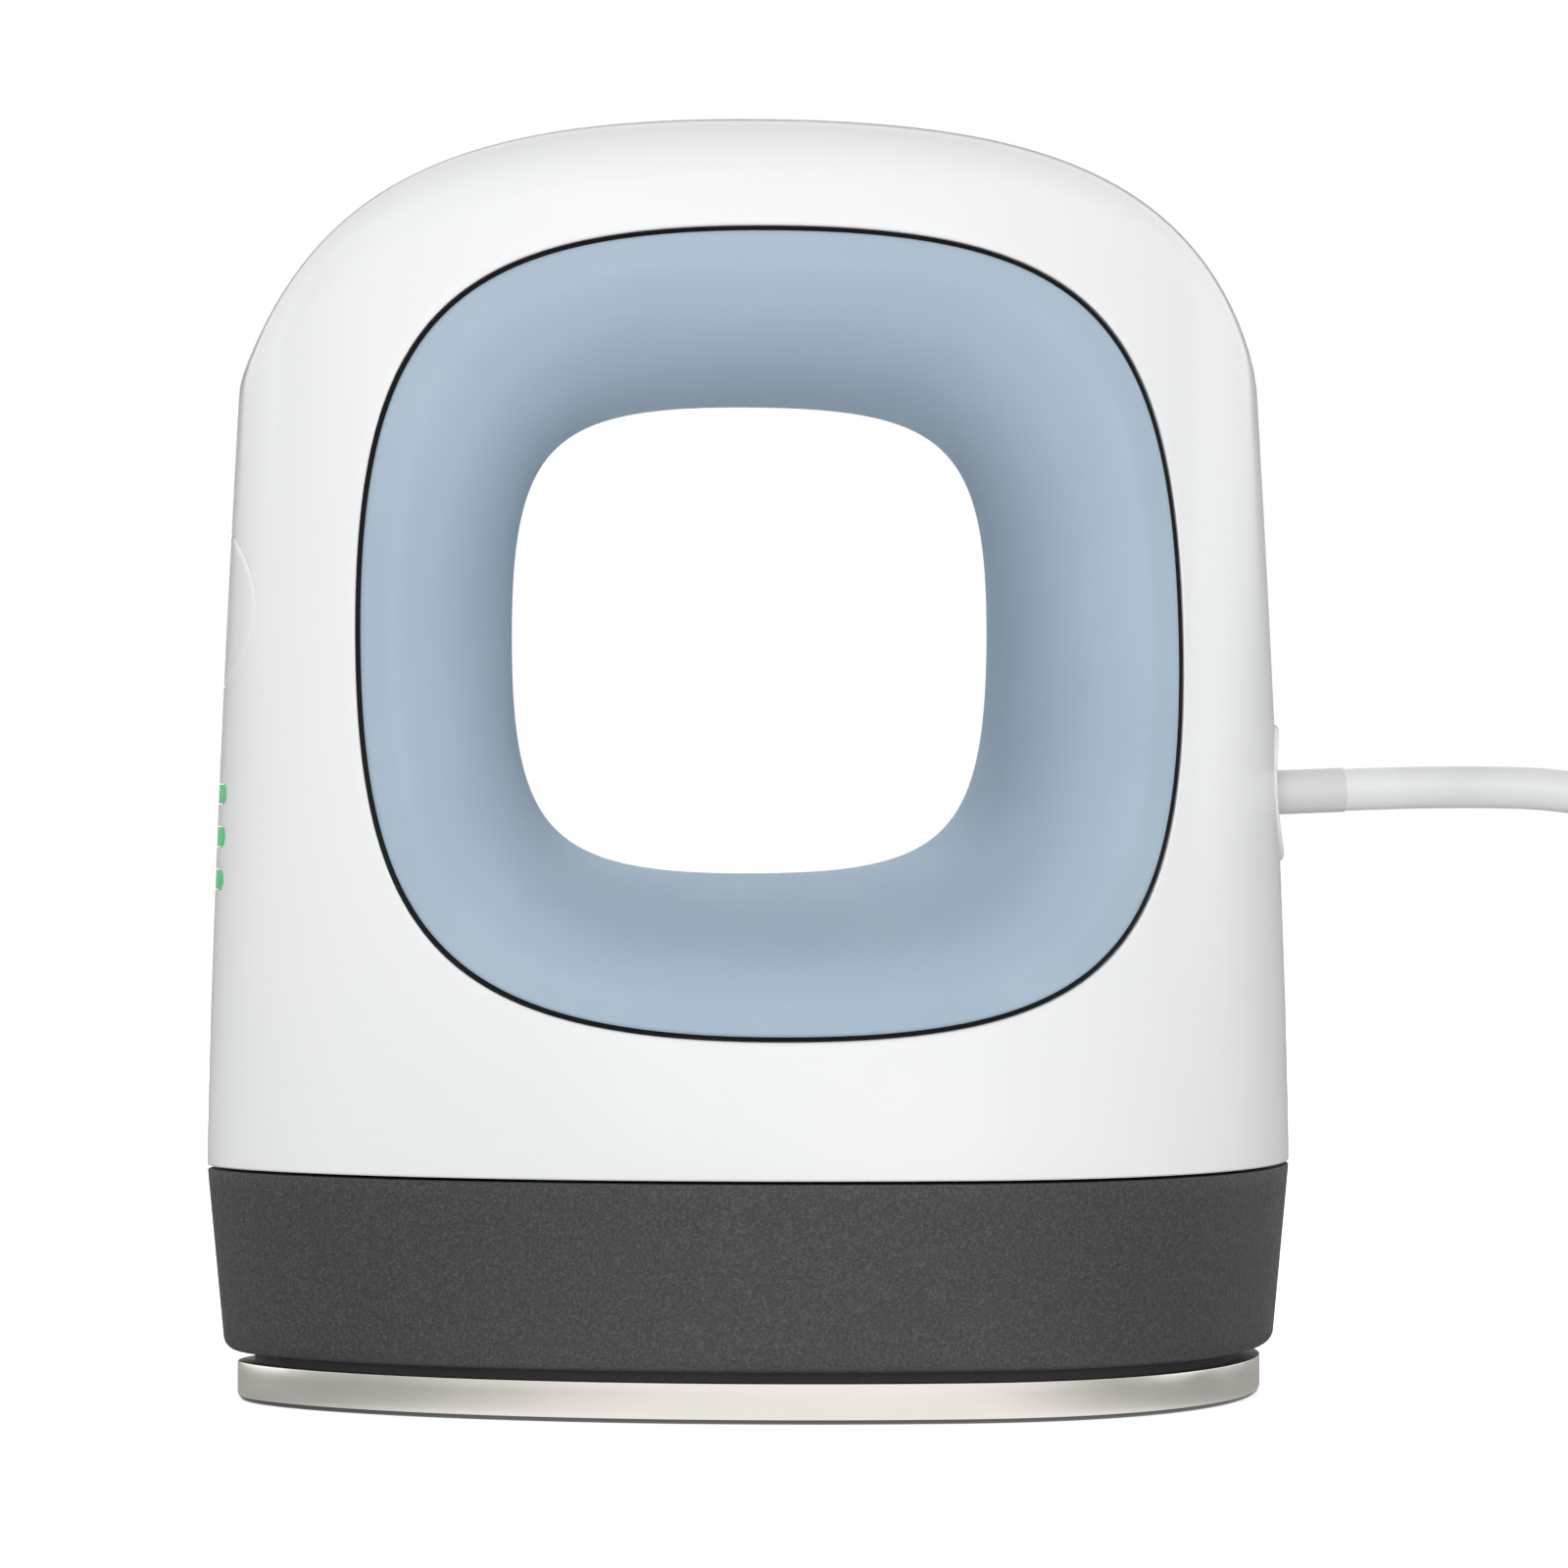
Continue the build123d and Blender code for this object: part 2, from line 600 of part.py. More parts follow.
with BuildPart() as base_skirt:
    for height in (SKIRT_BOTTOM, SKIRT_TOP):
        with BuildSketch(Plane.XY.offset(height)):
            add(skirt_outline(height, 0))
    loft()
    fillet(base_skirt.faces().sort_by(Axis.Z)[0].edges(), radius=SKIRT_FOOT_ROUNDING)
    for low, high in (
        (SKIRT_BOTTOM + SKIRT_FLANGE, CARRIER_BOTTOM - SKIRT_LEDGE),
        (CARRIER_BOTTOM, SKIRT_TOP),
    ):
        for height in (low, high):
            with BuildSketch(Plane.XY.offset(height)):
                add(skirt_outline(height, SKIRT_WALL))
        loft(mode=Mode.SUBTRACT)
    with BuildSketch(Plane.XY.offset(SKIRT_BOTTOM)):
        add(plate_outline(NECK_INSET - FIT))
    extrude(amount=SKIRT_TOP - SKIRT_BOTTOM, mode=Mode.SUBTRACT)
    split(bisect_by=Plane.XZ, keep=Keep.TOP)
    mirror(about=Plane.XZ)
write(base_skirt.part, "base_skirt")

# The carrier rests on the skirt's ledge. Its two lugs are held by the lower casing screws.
with BuildPart() as base_carrier:
    with BuildSketch(Plane.XY.offset(CARRIER_BOTTOM)):
        add(skirt_outline(CARRIER_BOTTOM, SKIRT_WALL + FIT))
        with Locations((LEAD_SLOT_X, 0)):
            Rectangle(LEAD_SLOT_LENGTH, LEAD_SLOT_WIDTH, mode=Mode.SUBTRACT)
        with Locations(*POST_PLACES):
            Circle(POST_STUD / 2 + SCREW_FIT, mode=Mode.SUBTRACT)
    extrude(amount=CARRIER_THICKNESS)
    with BuildSketch(Plane.XY.offset(CARRIER_TOP)):
        with Locations(*STANDOFF_PLACES):
            Circle(STANDOFF_DIAMETER / 2)
    extrude(amount=STANDOFF_HEIGHT)
    with Locations(*at_height(STANDOFF_PLACES, POWER_BOTTOM)):
        Hole(BOARD_SCREW / 2 + THREAD_FIT, depth=STANDOFF_HEIGHT + CARRIER_THICKNESS)
    with BuildSketch(Plane.XY.offset(CARRIER_TOP)):
        with Locations(*[(x, 0) for x, height in LUG_PLACES]):
            Rectangle(LUG_WIDTH, LUG_THICKNESS)
    extrude(amount=LUG_PLACES[0][1] + LUG_HEAD - CARRIER_TOP)
    with BuildSketch(Plane.XZ.offset(-LUG_THICKNESS)):
        with Locations(*LUG_PLACES):
            Circle(CASING_SCREW / 2 + SCREW_FIT)
    extrude(amount=2 * LUG_THICKNESS, mode=Mode.SUBTRACT)
write(base_carrier.part, "base_carrier")

plate_screws = pan_screws(
    POST_PLACES,
    Plane.XY.offset(CARRIER_TOP),
    POST_STUD,
    CARRIER_TOP - POST_TOP + POST_TAPPED_DEPTH - 1,
    1.8 * POST_STUD,
    SCREW_HEAD_HEIGHT,
)
write(plate_screws, "plate_screws")

# ================================================================ casing
outer_form = casing_form(0)
inner_form = casing_form(CASING_WALL)

exit_direction = Vector(1, 0, 0).rotate(Axis.Y, -EXIT_TILT)
exit_point = Vector(casing_half_length(EXIT_HEIGHT), 0, EXIT_HEIGHT)
exit_axis = Axis(exit_point, exit_direction)
exit_plane = Plane(exit_point, x_dir=(0, 1, 0), z_dir=exit_direction)
exit_section = Plane(exit_point, x_dir=exit_direction, z_dir=(0, -1, 0))

# Space inside the casing: all but the wall round the hand hole and the seat of the grips.
with BuildPart() as casing_space:
    add(inner_form)
    for side in (-1, 1):
        with BuildSketch(Plane.XZ.offset(side * BOSS_DEPTH)):
            add(rim_outline(-RING_WALL))
        extrude(amount=side * FAR, mode=Mode.SUBTRACT)

with BuildPart() as casing:
    add(outer_form)
    add(casing_space.part, mode=Mode.SUBTRACT)
    for side in (-1, 1):
        with BuildSketch(Plane.XZ.offset(side * LEDGE_DEPTH)):
            add(rim_outline(0))
        extrude(amount=side * FAR, mode=Mode.SUBTRACT)
    with BuildSketch(Plane.XZ.offset(-FAR)):
        add(rim_outline(LEDGE_WIDTH))
    extrude(amount=2 * FAR, mode=Mode.SUBTRACT)
    # Lip that reaches into the skirt behind the seam, and its root on the casing wall.
    with BuildSketch(Plane.XY.offset(SEAM_HEIGHT - TONGUE_HEIGHT)):
        add(skirt_outline(SEAM_HEIGHT - TONGUE_HEIGHT, SKIRT_WALL + FIT))
        add(skirt_outline(SEAM_HEIGHT, SKIRT_WALL + FIT + TONGUE_THICKNESS), mode=Mode.SUBTRACT)
    extrude(amount=TONGUE_HEIGHT)
    with BuildSketch(Plane.XY.offset(SEAM_HEIGHT)):
        add(skirt_outline(SEAM_HEIGHT, CASING_WALL / 2))
        add(skirt_outline(SEAM_HEIGHT, SKIRT_WALL + FIT + TONGUE_THICKNESS), mode=Mode.SUBTRACT)
    extrude(amount=TONGUE_HEIGHT)
    # Screw bosses behind the seat of the grips. The lower pair leaves room for the carrier's lugs.
    for places, start in ((LUG_PLACES, LUG_THICKNESS / 2 + FIT), (UPPER_PLACES, 0)):
        for side in (-1, 1):
            with BuildSketch(Plane.XZ.offset(side * start)):
                with Locations(*places):
                    Circle(CASING_BOSS / 2)
            extrude(amount=side * (LEDGE_DEPTH - start))
    with BuildSketch(Plane.XZ):
        with Locations(*CASING_SCREW_PLACES):
            Circle(CASING_SCREW / 2 + SCREW_FIT)
    extrude(amount=LEDGE_DEPTH, mode=Mode.SUBTRACT)
    with BuildSketch(Plane.XZ):
        with Locations(*CASING_SCREW_PLACES):
            Circle(CASING_SCREW / 2 + THREAD_FIT)
    extrude(amount=-LEDGE_DEPTH, mode=Mode.SUBTRACT)
    # Openings on the nose: the button and the three light bars.
    with BuildSketch(Plane.YZ.offset(BUTTON_BACK_X)):
        with Locations((0, BUTTON_HEIGHT)):
            Circle(BUTTON_DIAMETER / 2 + BUTTON_GAP)
        with Locations(*[(0, height) for height in LIGHT_HEIGHTS]):
            SlotOverall(LIGHT_WIDTH + 2 * LIGHT_GAP, LIGHT_THICKNESS + 2 * LIGHT_GAP)
    extrude(amount=-FAR, mode=Mode.SUBTRACT)
    # Opening for the cord socket in the rear wall.
    with BuildSketch(exit_plane.offset(SOCKET_BACK)):
        Circle(SOCKET_DIAMETER / 2 + SOCKET_GAP)
    extrude(amount=FAR, mode=Mode.SUBTRACT)

for name, keep in (("left_shell", Keep.TOP), ("right_shell", Keep.BOTTOM)):
    with BuildPart() as shell:
        add(casing.part)
        split(bisect_by=Plane.XZ, keep=keep)
    write(shell.part, name)

casing_screws = pan_screws(
    CASING_SCREW_PLACES,
    Plane.XZ.offset(LEDGE_DEPTH),
    CASING_SCREW,
    LEDGE_DEPTH + BOSS_DEPTH,
    CASING_SCREW_HEAD,
    CASING_SCREW_HEAD_HEIGHT,
)
write(casing_screws, "casing_screws")

# ================================================================ grips
throat = throat_form(RIM_BAND, 0)
lining_back = throat_form(RIM_BAND - GRIP_WALL, GRIP_WALL)

# Hollow behind the grips: under their face, and past the seat all but the lining of the hole.
with BuildPart() as grip_space:
    add(inner_form)
    with BuildSketch(Plane.XZ.offset(-FAR)):
        add(rim_outline(GRIP_GAP + GRIP_SKIRT))
    extrude(amount=2 * FAR, mode=Mode.INTERSECT)
    with BuildSketch(Plane.XZ.offset(-LEDGE_DEPTH)):
        add(rim_outline(0))
    extrude(amount=2 * LEDGE_DEPTH)
    add(lining_back, mode=Mode.SUBTRACT)

with BuildPart() as grip_ring:
    add(outer_form)
    with BuildSketch(Plane.XZ.offset(-FAR)):
        add(rim_outline(GRIP_GAP))
    extrude(amount=2 * FAR, mode=Mode.INTERSECT)
    add(grip_space.part, mode=Mode.SUBTRACT)
    add(throat, mode=Mode.SUBTRACT)
    # Notches in the inner edge for the heads of the casing screws.
    with BuildSketch(Plane.XZ.offset(LEDGE_DEPTH)):
        with Locations(*CASING_SCREW_PLACES):
            Circle(CASING_SCREW_HEAD / 2 + SCREW_FIT)
    extrude(amount=CASING_SCREW_HEAD_HEIGHT + SCREW_FIT, mode=Mode.SUBTRACT)

for name, keep in (("left_grip", Keep.TOP), ("right_grip", Keep.BOTTOM)):
    with BuildPart() as grip:
        add(grip_ring.part)
        split(bisect_by=Plane.XZ, keep=keep)
    write(grip.part, name)

# ================================================================ button, switch, lights, control board
def button_rod(diameter, form):
    """Rod along the button's axis, from its back to a form of the casing."""
    with BuildPart() as rod:
        with BuildSketch(Plane.YZ.offset(BUTTON_BACK_X)):
            with Locations((0, BUTTON_HEIGHT)):
                Circle(diameter / 2)
        extrude(amount=-FAR)
        add(form, mode=Mode.INTERSECT)
    return rod.part


button_cap = button_rod(BUTTON_DIAMETER, outer_form)
button_flange = button_rod(BUTTON_FLANGE, casing_form(CASING_WALL + BUTTON_STOP_GAP))
button_hollow = button_rod(BUTTON_DIAMETER - 2 * BUTTON_WALL, casing_form(BUTTON_SKIN))
stem_end = SWITCH_FRONT - PLUNGER_PROUD
with BuildPart() as power_button:
    add(button_cap)
    add(button_flange)
    add(button_hollow, mode=Mode.SUBTRACT)
    with BuildSketch(Plane.YZ.offset(stem_end)):
        with Locations((0, BUTTON_HEIGHT)):
            Circle(BUTTON_STEM / 2)
    extrude(amount=-(casing_half_length(BUTTON_HEIGHT) - BUTTON_SKIN / 2 + stem_end))
write(power_button.part, "power_button")

with BuildPart() as switch_plunger:
    with BuildSketch(Plane.YZ.offset(stem_end)):
        with Locations((0, BUTTON_HEIGHT)):
            Circle(PLUNGER_DIAMETER / 2)
    extrude(amount=PLUNGER_LENGTH)
write(switch_plunger.part, "switch_plunger")

with BuildPart() as push_switch:
    with BuildSketch(Plane.YZ.offset(SWITCH_FRONT)):
        with Locations((0, BUTTON_HEIGHT)):
            RectangleRounded(SWITCH_SIDE, SWITCH_SIDE, SWITCH_SIDE / 10)
    extrude(amount=SWITCH_THICKNESS)
    with BuildSketch(Plane.YZ.offset(SWITCH_FRONT)):
        with Locations((0, BUTTON_HEIGHT)):
            Circle(PLUNGER_DIAMETER / 2 + PLUNGER_GAP)
    extrude(amount=PLUNGER_LENGTH - PLUNGER_PROUD + BUTTON_TRAVEL + 3 * FIT, mode=Mode.SUBTRACT)
write(push_switch.part, "push_switch")

with BuildPart() as control_board:
    with BuildSketch(Plane.YZ.offset(CONTROL_X)):
        with Locations((0, (CONTROL_LOW + CONTROL_HIGH) / 2)):
            Rectangle(CONTROL_WIDTH, CONTROL_HIGH - CONTROL_LOW)
    extrude(amount=CONTROL_THICKNESS)
write(control_board.part, "control_board")

with BuildPart() as control_chip:
    with BuildSketch(Plane.YZ.offset(CONTROL_X + CONTROL_THICKNESS)):
        with Locations((0, CHIP_HEIGHT)):
            Rectangle(CHIP_SIDE, CHIP_SIDE)
    extrude(amount=CHIP_THICKNESS)
    chamfer(control_chip.faces().sort_by(Axis.X)[-1].edges(), length=CHIP_THICKNESS / 4)
write(control_chip.part, "control_chip")

with BuildPart() as status_leds:
    with BuildSketch(Plane.YZ.offset(CONTROL_X)):
        with Locations(*[(0, height) for height in LIGHT_HEIGHTS]):
            Rectangle(LED_WIDTH, LED_HEIGHT)
    extrude(amount=-LED_THICKNESS)
write(status_leds.part, "status_leds")

with BuildPart() as light_guide:
    with BuildSketch(Plane.YZ.offset(LIGHT_BLOCK_X)):
        with Locations(*[(0, height) for height in LIGHT_HEIGHTS]):
            SlotOverall(LIGHT_WIDTH, LIGHT_THICKNESS)
    extrude(amount=-FAR)
    add(outer_form, mode=Mode.INTERSECT)
    block_low = min(LIGHT_HEIGHTS) - LIGHT_THICKNESS / 2 - LIGHT_BLOCK_MARGIN
    block_high = max(LIGHT_HEIGHTS) + LIGHT_THICKNESS / 2 + LIGHT_BLOCK_MARGIN
    with BuildSketch(Plane.YZ.offset(LIGHT_BLOCK_X)):
        with Locations((0, (block_low + block_high) / 2)):
            Rectangle(LIGHT_WIDTH + 2 * LIGHT_BLOCK_MARGIN, block_high - block_low)
    extrude(amount=CONTROL_X - LED_THICKNESS - FIT - LIGHT_BLOCK_X)
write(light_guide.part, "light_guide")

# ================================================================ power board
with BuildPart() as power_board:
    with BuildSketch(Plane.XY.offset(POWER_BOTTOM)):
        Rectangle(POWER_LENGTH, POWER_WIDTH)
        with Locations(*STANDOFF_PLACES):
            Circle(BOARD_SCREW / 2 + SCREW_FIT, mode=Mode.SUBTRACT)
    extrude(amount=POWER_THICKNESS)
write(power_board.part, "power_board")

board_screws = pan_screws(
    STANDOFF_PLACES,
    Plane.XY.offset(POWER_TOP),
    BOARD_SCREW,
    POWER_THICKNESS + STANDOFF_HEIGHT + CARRIER_THICKNESS / 2,
    BOARD_SCREW_HEAD,
    SCREW_HEAD_HEIGHT,
)
write(board_screws, "board_screws")

with BuildPart() as terminal_block:
    with BuildSketch(Plane.XY.offset(POWER_TOP)):
        with Locations((TERMINAL_X, 0)):
            Rectangle(TERMINAL_LENGTH, TERMINAL_WIDTH)
    extrude(amount=TERMINAL_HEIGHT)
    with BuildSketch(Plane.XY.offset(POWER_TOP + TERMINAL_HEIGHT)):
        with Locations((TERMINAL_X, -MAINS_LEAD_Y), (TERMINAL_X, MAINS_LEAD_Y)):
            Circle(TERMINAL_WELL / 2)
    extrude(amount=-TERMINAL_HEIGHT / 4, mode=Mode.SUBTRACT)
    chamfer(terminal_block.faces().sort_by(Axis.Z)[-1].outer_wire().edges(), length=TERMINAL_HEIGHT / 16)
write(terminal_block.part, "terminal_block")

with BuildPart() as filter_capacitor:
    with BuildSketch(Plane.XY.offset(POWER_TOP)):
        with Locations((CAPACITOR_X, 0)):
            Rectangle(CAPACITOR_LENGTH, CAPACITOR_WIDTH)
    extrude(amount=CAPACITOR_HEIGHT)
    fillet(filter_capacitor.edges().filter_by(Axis.Z), radius=CAPACITOR_WIDTH / 10)
write(filter_capacitor.part, "filter_capacitor")

with BuildPart() as smoothing_capacitor:
    with BuildSketch(Plane.XY.offset(POWER_TOP)):
        with Locations((SMOOTHING_X, 0)):
            Circle(SMOOTHING_DIAMETER / 2)
    extrude(amount=SMOOTHING_HEIGHT)
    fillet(smoothing_capacitor.faces().sort_by(Axis.Z)[-1].edges(), radius=SMOOTHING_DIAMETER / 12)
write(smoothing_capacitor.part, "smoothing_capacitor")

# Standing package: three legs, a body and a drilled metal tab.
triac_plane = Plane.YZ.offset(TRIAC_X)
triac_body_low = POWER_TOP + TRIAC_LEG
triac_tab_low = triac_body_low + TRIAC_BODY
with BuildPart() as triac:
    with BuildSketch(triac_plane):
        with Locations((0, triac_body_low + TRIAC_BODY / 2)):
            Rectangle(TRIAC_WIDTH, TRIAC_BODY)
    extrude(amount=TRIAC_THICKNESS / 2, both=True)
    with BuildSketch(triac_plane.offset(-TRIAC_THICKNESS / 2)):
        with Locations((0, triac_tab_low + TRIAC_TAB / 2)):
            Rectangle(TRIAC_WIDTH, TRIAC_TAB)
            Circle(TRIAC_TAB / 4, mode=Mode.SUBTRACT)
    extrude(amount=TRIAC_TAB_THICKNESS)
    with BuildSketch(triac_plane):
        with Locations(*[(pin * TRIAC_LEG_PITCH, POWER_TOP + TRIAC_LEG / 2) for pin in (-1, 0, 1)]):
            Rectangle(TRIAC_LEG_WIDTH, TRIAC_LEG)
    extrude(amount=TRIAC_LEG_WIDTH / 2)
write(triac.part, "triac")

with BuildPart() as board_fuse:
    fuse_start = FUSE_X - FUSE_LENGTH / 2
    for start, length, diameter in (
        (fuse_start, FUSE_CAP, FUSE_DIAMETER),
        (fuse_start + FUSE_CAP, FUSE_LENGTH - 2 * FUSE_CAP, FUSE_GLASS),
        (fuse_start + FUSE_LENGTH - FUSE_CAP, FUSE_CAP, FUSE_DIAMETER),
    ):
        with BuildSketch(Plane.YZ.offset(start)):
            with Locations((FUSE_Y, POWER_TOP + FUSE_DIAMETER / 2)):
                Circle(diameter / 2)
        extrude(amount=length)
write(board_fuse.part, "board_fuse")

# ================================================================ cord exit
def exit_rod(diameter, back, form):
    """Rod along the exit axis, from a place behind the face to a form of the casing."""
    with BuildPart() as rod:
        with BuildSketch(exit_plane.offset(back)):
            Circle(diameter / 2)
        extrude(amount=FAR)
        add(form, mode=Mode.INTERSECT)
    return rod.part


socket_body = exit_rod(SOCKET_DIAMETER, SOCKET_BACK, casing_form(-SOCKET_PROUD))
socket_flange = exit_rod(SOCKET_FLANGE, SOCKET_FLANGE_BACK, casing_form(CASING_WALL + FIT))
seat_radius = BALL_DIAMETER / 2 + BALL_GAP
neck_radius = DISH_NECK / 2
seat_end = BALL_AT + math.sqrt(seat_radius**2 - neck_radius**2)
seat_middle = BALL_AT + seat_radius * math.sin(math.pi / 4)
dish_middle = (between(-DISH_NECK_DEPTH, -DISH_RIM_DEPTH, 0.35), between(DISH_NECK, DISH_RIM, 0.5) / 2)
with BuildPart() as cord_socket:
    add(socket_body)
    add(socket_flange)
    # Bore and ball seat from behind, neck, and the dish that leaves the guard room.
    with BuildSketch(exit_section):
        with BuildLine():
            Polyline(
                (-DISH_NECK_DEPTH, neck_radius),
                (seat_end, neck_radius),
            )
            ThreePointArc(
                (seat_end, neck_radius),
                (seat_middle, seat_radius * math.cos(math.pi / 4)),
                (BALL_AT, seat_radius),
            )
            Polyline(
                (BALL_AT, seat_radius),
                (SOCKET_BACK - 1, seat_radius),
                (SOCKET_BACK - 1, 0),
                (BALL_DIAMETER, 0),
                (BALL_DIAMETER, DISH_RIM / 2),
                (-DISH_RIM_DEPTH, DISH_RIM / 2),
            )
            ThreePointArc((-DISH_RIM_DEPTH, DISH_RIM / 2), dish_middle, (-DISH_NECK_DEPTH, neck_radius))
        make_face()
    revolve(axis=exit_axis, mode=Mode.SUBTRACT)
write(cord_socket.part, "cord_socket")

ball_flat_radius = math.sqrt((BALL_DIAMETER / 2) ** 2 - (BALL_AT - BALL_FLAT) ** 2)
ball_neck = BALL_AT + math.sqrt((BALL_DIAMETER / 2) ** 2 - (GUARD_DIAMETER / 2) ** 2)
with BuildPart() as cord_guard:
    with BuildSketch(exit_section):
        with BuildLine():
            Polyline((BALL_FLAT, ball_flat_radius), (BALL_FLAT, 0), (GUARD_REACH, 0))
            Polyline((GUARD_REACH, 0), (GUARD_REACH, GUARD_DIAMETER / 2), (ball_neck, GUARD_DIAMETER / 2))
            ThreePointArc(
                (ball_neck, GUARD_DIAMETER / 2),
                (BALL_AT, BALL_DIAMETER / 2),
                (BALL_FLAT, ball_flat_radius),
            )
        make_face()
    revolve(axis=exit_axis)
write(cord_guard.part, "cord_guard")

with BuildPart() as guard_retainer:
    with BuildSketch(exit_plane.offset(BALL_FLAT - RETAINER_GAP)):
        Circle(seat_radius - THREAD_FIT)
        Circle(RETAINER_BORE / 2, mode=Mode.SUBTRACT)
    extrude(amount=-RETAINER_THICKNESS)
write(guard_retainer.part, "guard_retainer")

# ================================================================ wiring
def add_leads(routes, diameter, name):
    """Write a group of separate leads."""
    with BuildPart() as leads:
        for route in routes:
            add(lead(route, diameter))
    write(leads.part, name)


def from_exit(along, aside):
    """A place on the exit axis, moved aside along Y."""
    place = exit_point + exit_direction * along
    return (place.X, aside, place.Z)


terminal_rear = TERMINAL_X + TERMINAL_LENGTH / 2
mains_routes = []
heater_routes = []
for side in (-1, 1):
    apart = side * MAINS_LEAD_APART / 2
    mains_routes.append(
        [
            from_exit(BALL_FLAT - SWIVEL_GAP, apart),
            (MAINS_DROP_X + 1, apart * 1.4, EXIT_HEIGHT - 1.2),
            (MAINS_DROP_X, side * MAINS_LEAD_Y, EXIT_HEIGHT - 14),
            (MAINS_DROP_X, side * MAINS_LEAD_Y, MAINS_LEVEL),
            (terminal_rear, side * MAINS_LEAD_Y, MAINS_LEVEL),
        ]
    )
    heater_routes.append(
        [
            (HEATER_LEAD_X, side * HEATER_LEAD_Y, FILM_TOP),
            (HEATER_LEAD_X, side * HEATER_LEAD_Y, HEATER_LEVEL),
            (LANDING_X, side * LANDING_Y, HEATER_LEVEL),
            (LANDING_X, side * LANDING_Y, POWER_TOP),
        ]
    )
add_leads(mains_routes, LEAD_DIAMETER, "mains_leads")
add_leads(heater_routes, LEAD_DIAMETER, "heater_leads")

sensor_routes = []
for start_x, start_y, start_z in (
    (SENSOR_X + CUTOFF_LENGTH, SENSOR_Y, CLAMP_TOP + CUTOFF_DIAMETER / 2),
    (SENSOR_X + THERMISTOR_LENGTH, -SENSOR_Y - SENSOR_LEAD_APART / 2, CLAMP_TOP + THERMISTOR_DIAMETER / 2),
    (SENSOR_X + THERMISTOR_LENGTH, -SENSOR_Y + SENSOR_LEAD_APART / 2, CLAMP_TOP + THERMISTOR_DIAMETER / 2),
):
    landing_y = start_y + math.copysign(SENSOR_LANDING_Y - SENSOR_Y, start_y)
    sensor_routes.append(
        [
            (start_x, start_y, start_z),
            (SENSOR_LEAD_X, start_y, start_z),
            (SENSOR_LEAD_X, start_y, SENSOR_LEVEL),
            (SENSOR_LANDING_X, landing_y, SENSOR_LEVEL),
            (SENSOR_LANDING_X, landing_y, POWER_TOP),
        ]
    )
add_leads(sensor_routes, SENSOR_LEAD_DIAMETER, "sensor_leads")

with BuildPart() as control_ribbon:
    ribbon_x = CONTROL_X + CONTROL_THICKNESS / 2
    with BuildLine() as ribbon_path:
        FilletPolyline(
            (ribbon_x, RIBBON_Y, CONTROL_LOW),
            (ribbon_x, RIBBON_Y, RIBBON_LEVEL),
            (RIBBON_END_X, RIBBON_Y, RIBBON_LEVEL),
            (RIBBON_END_X, RIBBON_Y, POWER_TOP),
            radius=LEAD_BEND,
        )
    with BuildSketch(Plane(ribbon_path.line @ 0, x_dir=(0, 1, 0), z_dir=ribbon_path.line % 0)):
        Rectangle(RIBBON_WIDTH, RIBBON_THICKNESS)
    sweep(path=ribbon_path.wires()[0])
write(control_ribbon.part, "control_ribbon")

# ================================================================ cord
def bend_radii(route, name):
    """Radii of the route's corners: as large as the shorter run beside each allows."""
    points = [Vector(*point) for point in route]
    radii = []
    for before, here, after in zip(points, points[1:], points[2:]):
        run_in = here - before
        run_out = after - here
        half_turn = math.radians(run_in.get_angle(run_out)) / 2
        radii.append(0.45 * min(run_in.length, run_out.length) / math.tan(half_turn))
    print(name, "bend radii:", [round(radius, 1) for radius in radii])
    return radii


def cord_tube(route, name):
    """The cord's own tube along a route of straight runs and tangent arcs."""
    with BuildPart() as tube:
        with BuildLine() as path:
            FilletPolyline(*route, radius=bend_radii(route, name))
        with BuildSketch(Plane(path.line @ 0, z_dir=path.line % 0)):
            Circle(CORD_DIAMETER / 2)
        sweep(path=path.wires()[0])
    length = path.wires()[0].length
    expected = math.pi * (CORD_DIAMETER / 2) ** 2 * length
    print(name, "length:", round(length, 1), "volume share:", round(tube.part.volume / expected, 4))
    return tube.part


cord_radius = CORD_DIAMETER / 2
coil_outer_turn = COIL_MEAN_RADIUS + COIL_PITCH * (COIL_COLUMNS - 1) / 2
coil_width = COIL_PITCH * (COIL_COLUMNS - 1) + CORD_DIAMETER
coil_height = COIL_PITCH * (COIL_ROWS - 1) + CORD_DIAMETER
coil_top_turn = coil_height - cord_radius
cord_start = from_exit(GUARD_REACH, 0)
cord_end = (COIL_X - COIL_STUB, COIL_Y - coil_outer_turn, cord_radius)
write(cord_tube([cord_start, *CORD_ROUTE, cord_end], "cord"), "cord")

radial = Vector(1, 0, 0).rotate(Axis.Z, TIE_ANGLE)
tie_plane = Plane((COIL_X, COIL_Y, 0), x_dir=radial, z_dir=radial.cross(Vector(0, 0, 1)))
with BuildPart() as coil_tie:
    with BuildSketch(tie_plane):
        with Locations((COIL_MEAN_RADIUS, (coil_height + TIE_THICKNESS) / 2)):
            Rectangle(coil_width + 2 * TIE_THICKNESS, coil_height + TIE_THICKNESS)
        with Locations((COIL_MEAN_RADIUS, (coil_height + TIE_THICKNESS) / 2)):
            Rectangle(coil_width, coil_height - TIE_THICKNESS, mode=Mode.SUBTRACT)
    extrude(amount=TIE_WIDTH / 2, both=True)
write(coil_tie.part, "coil_tie")

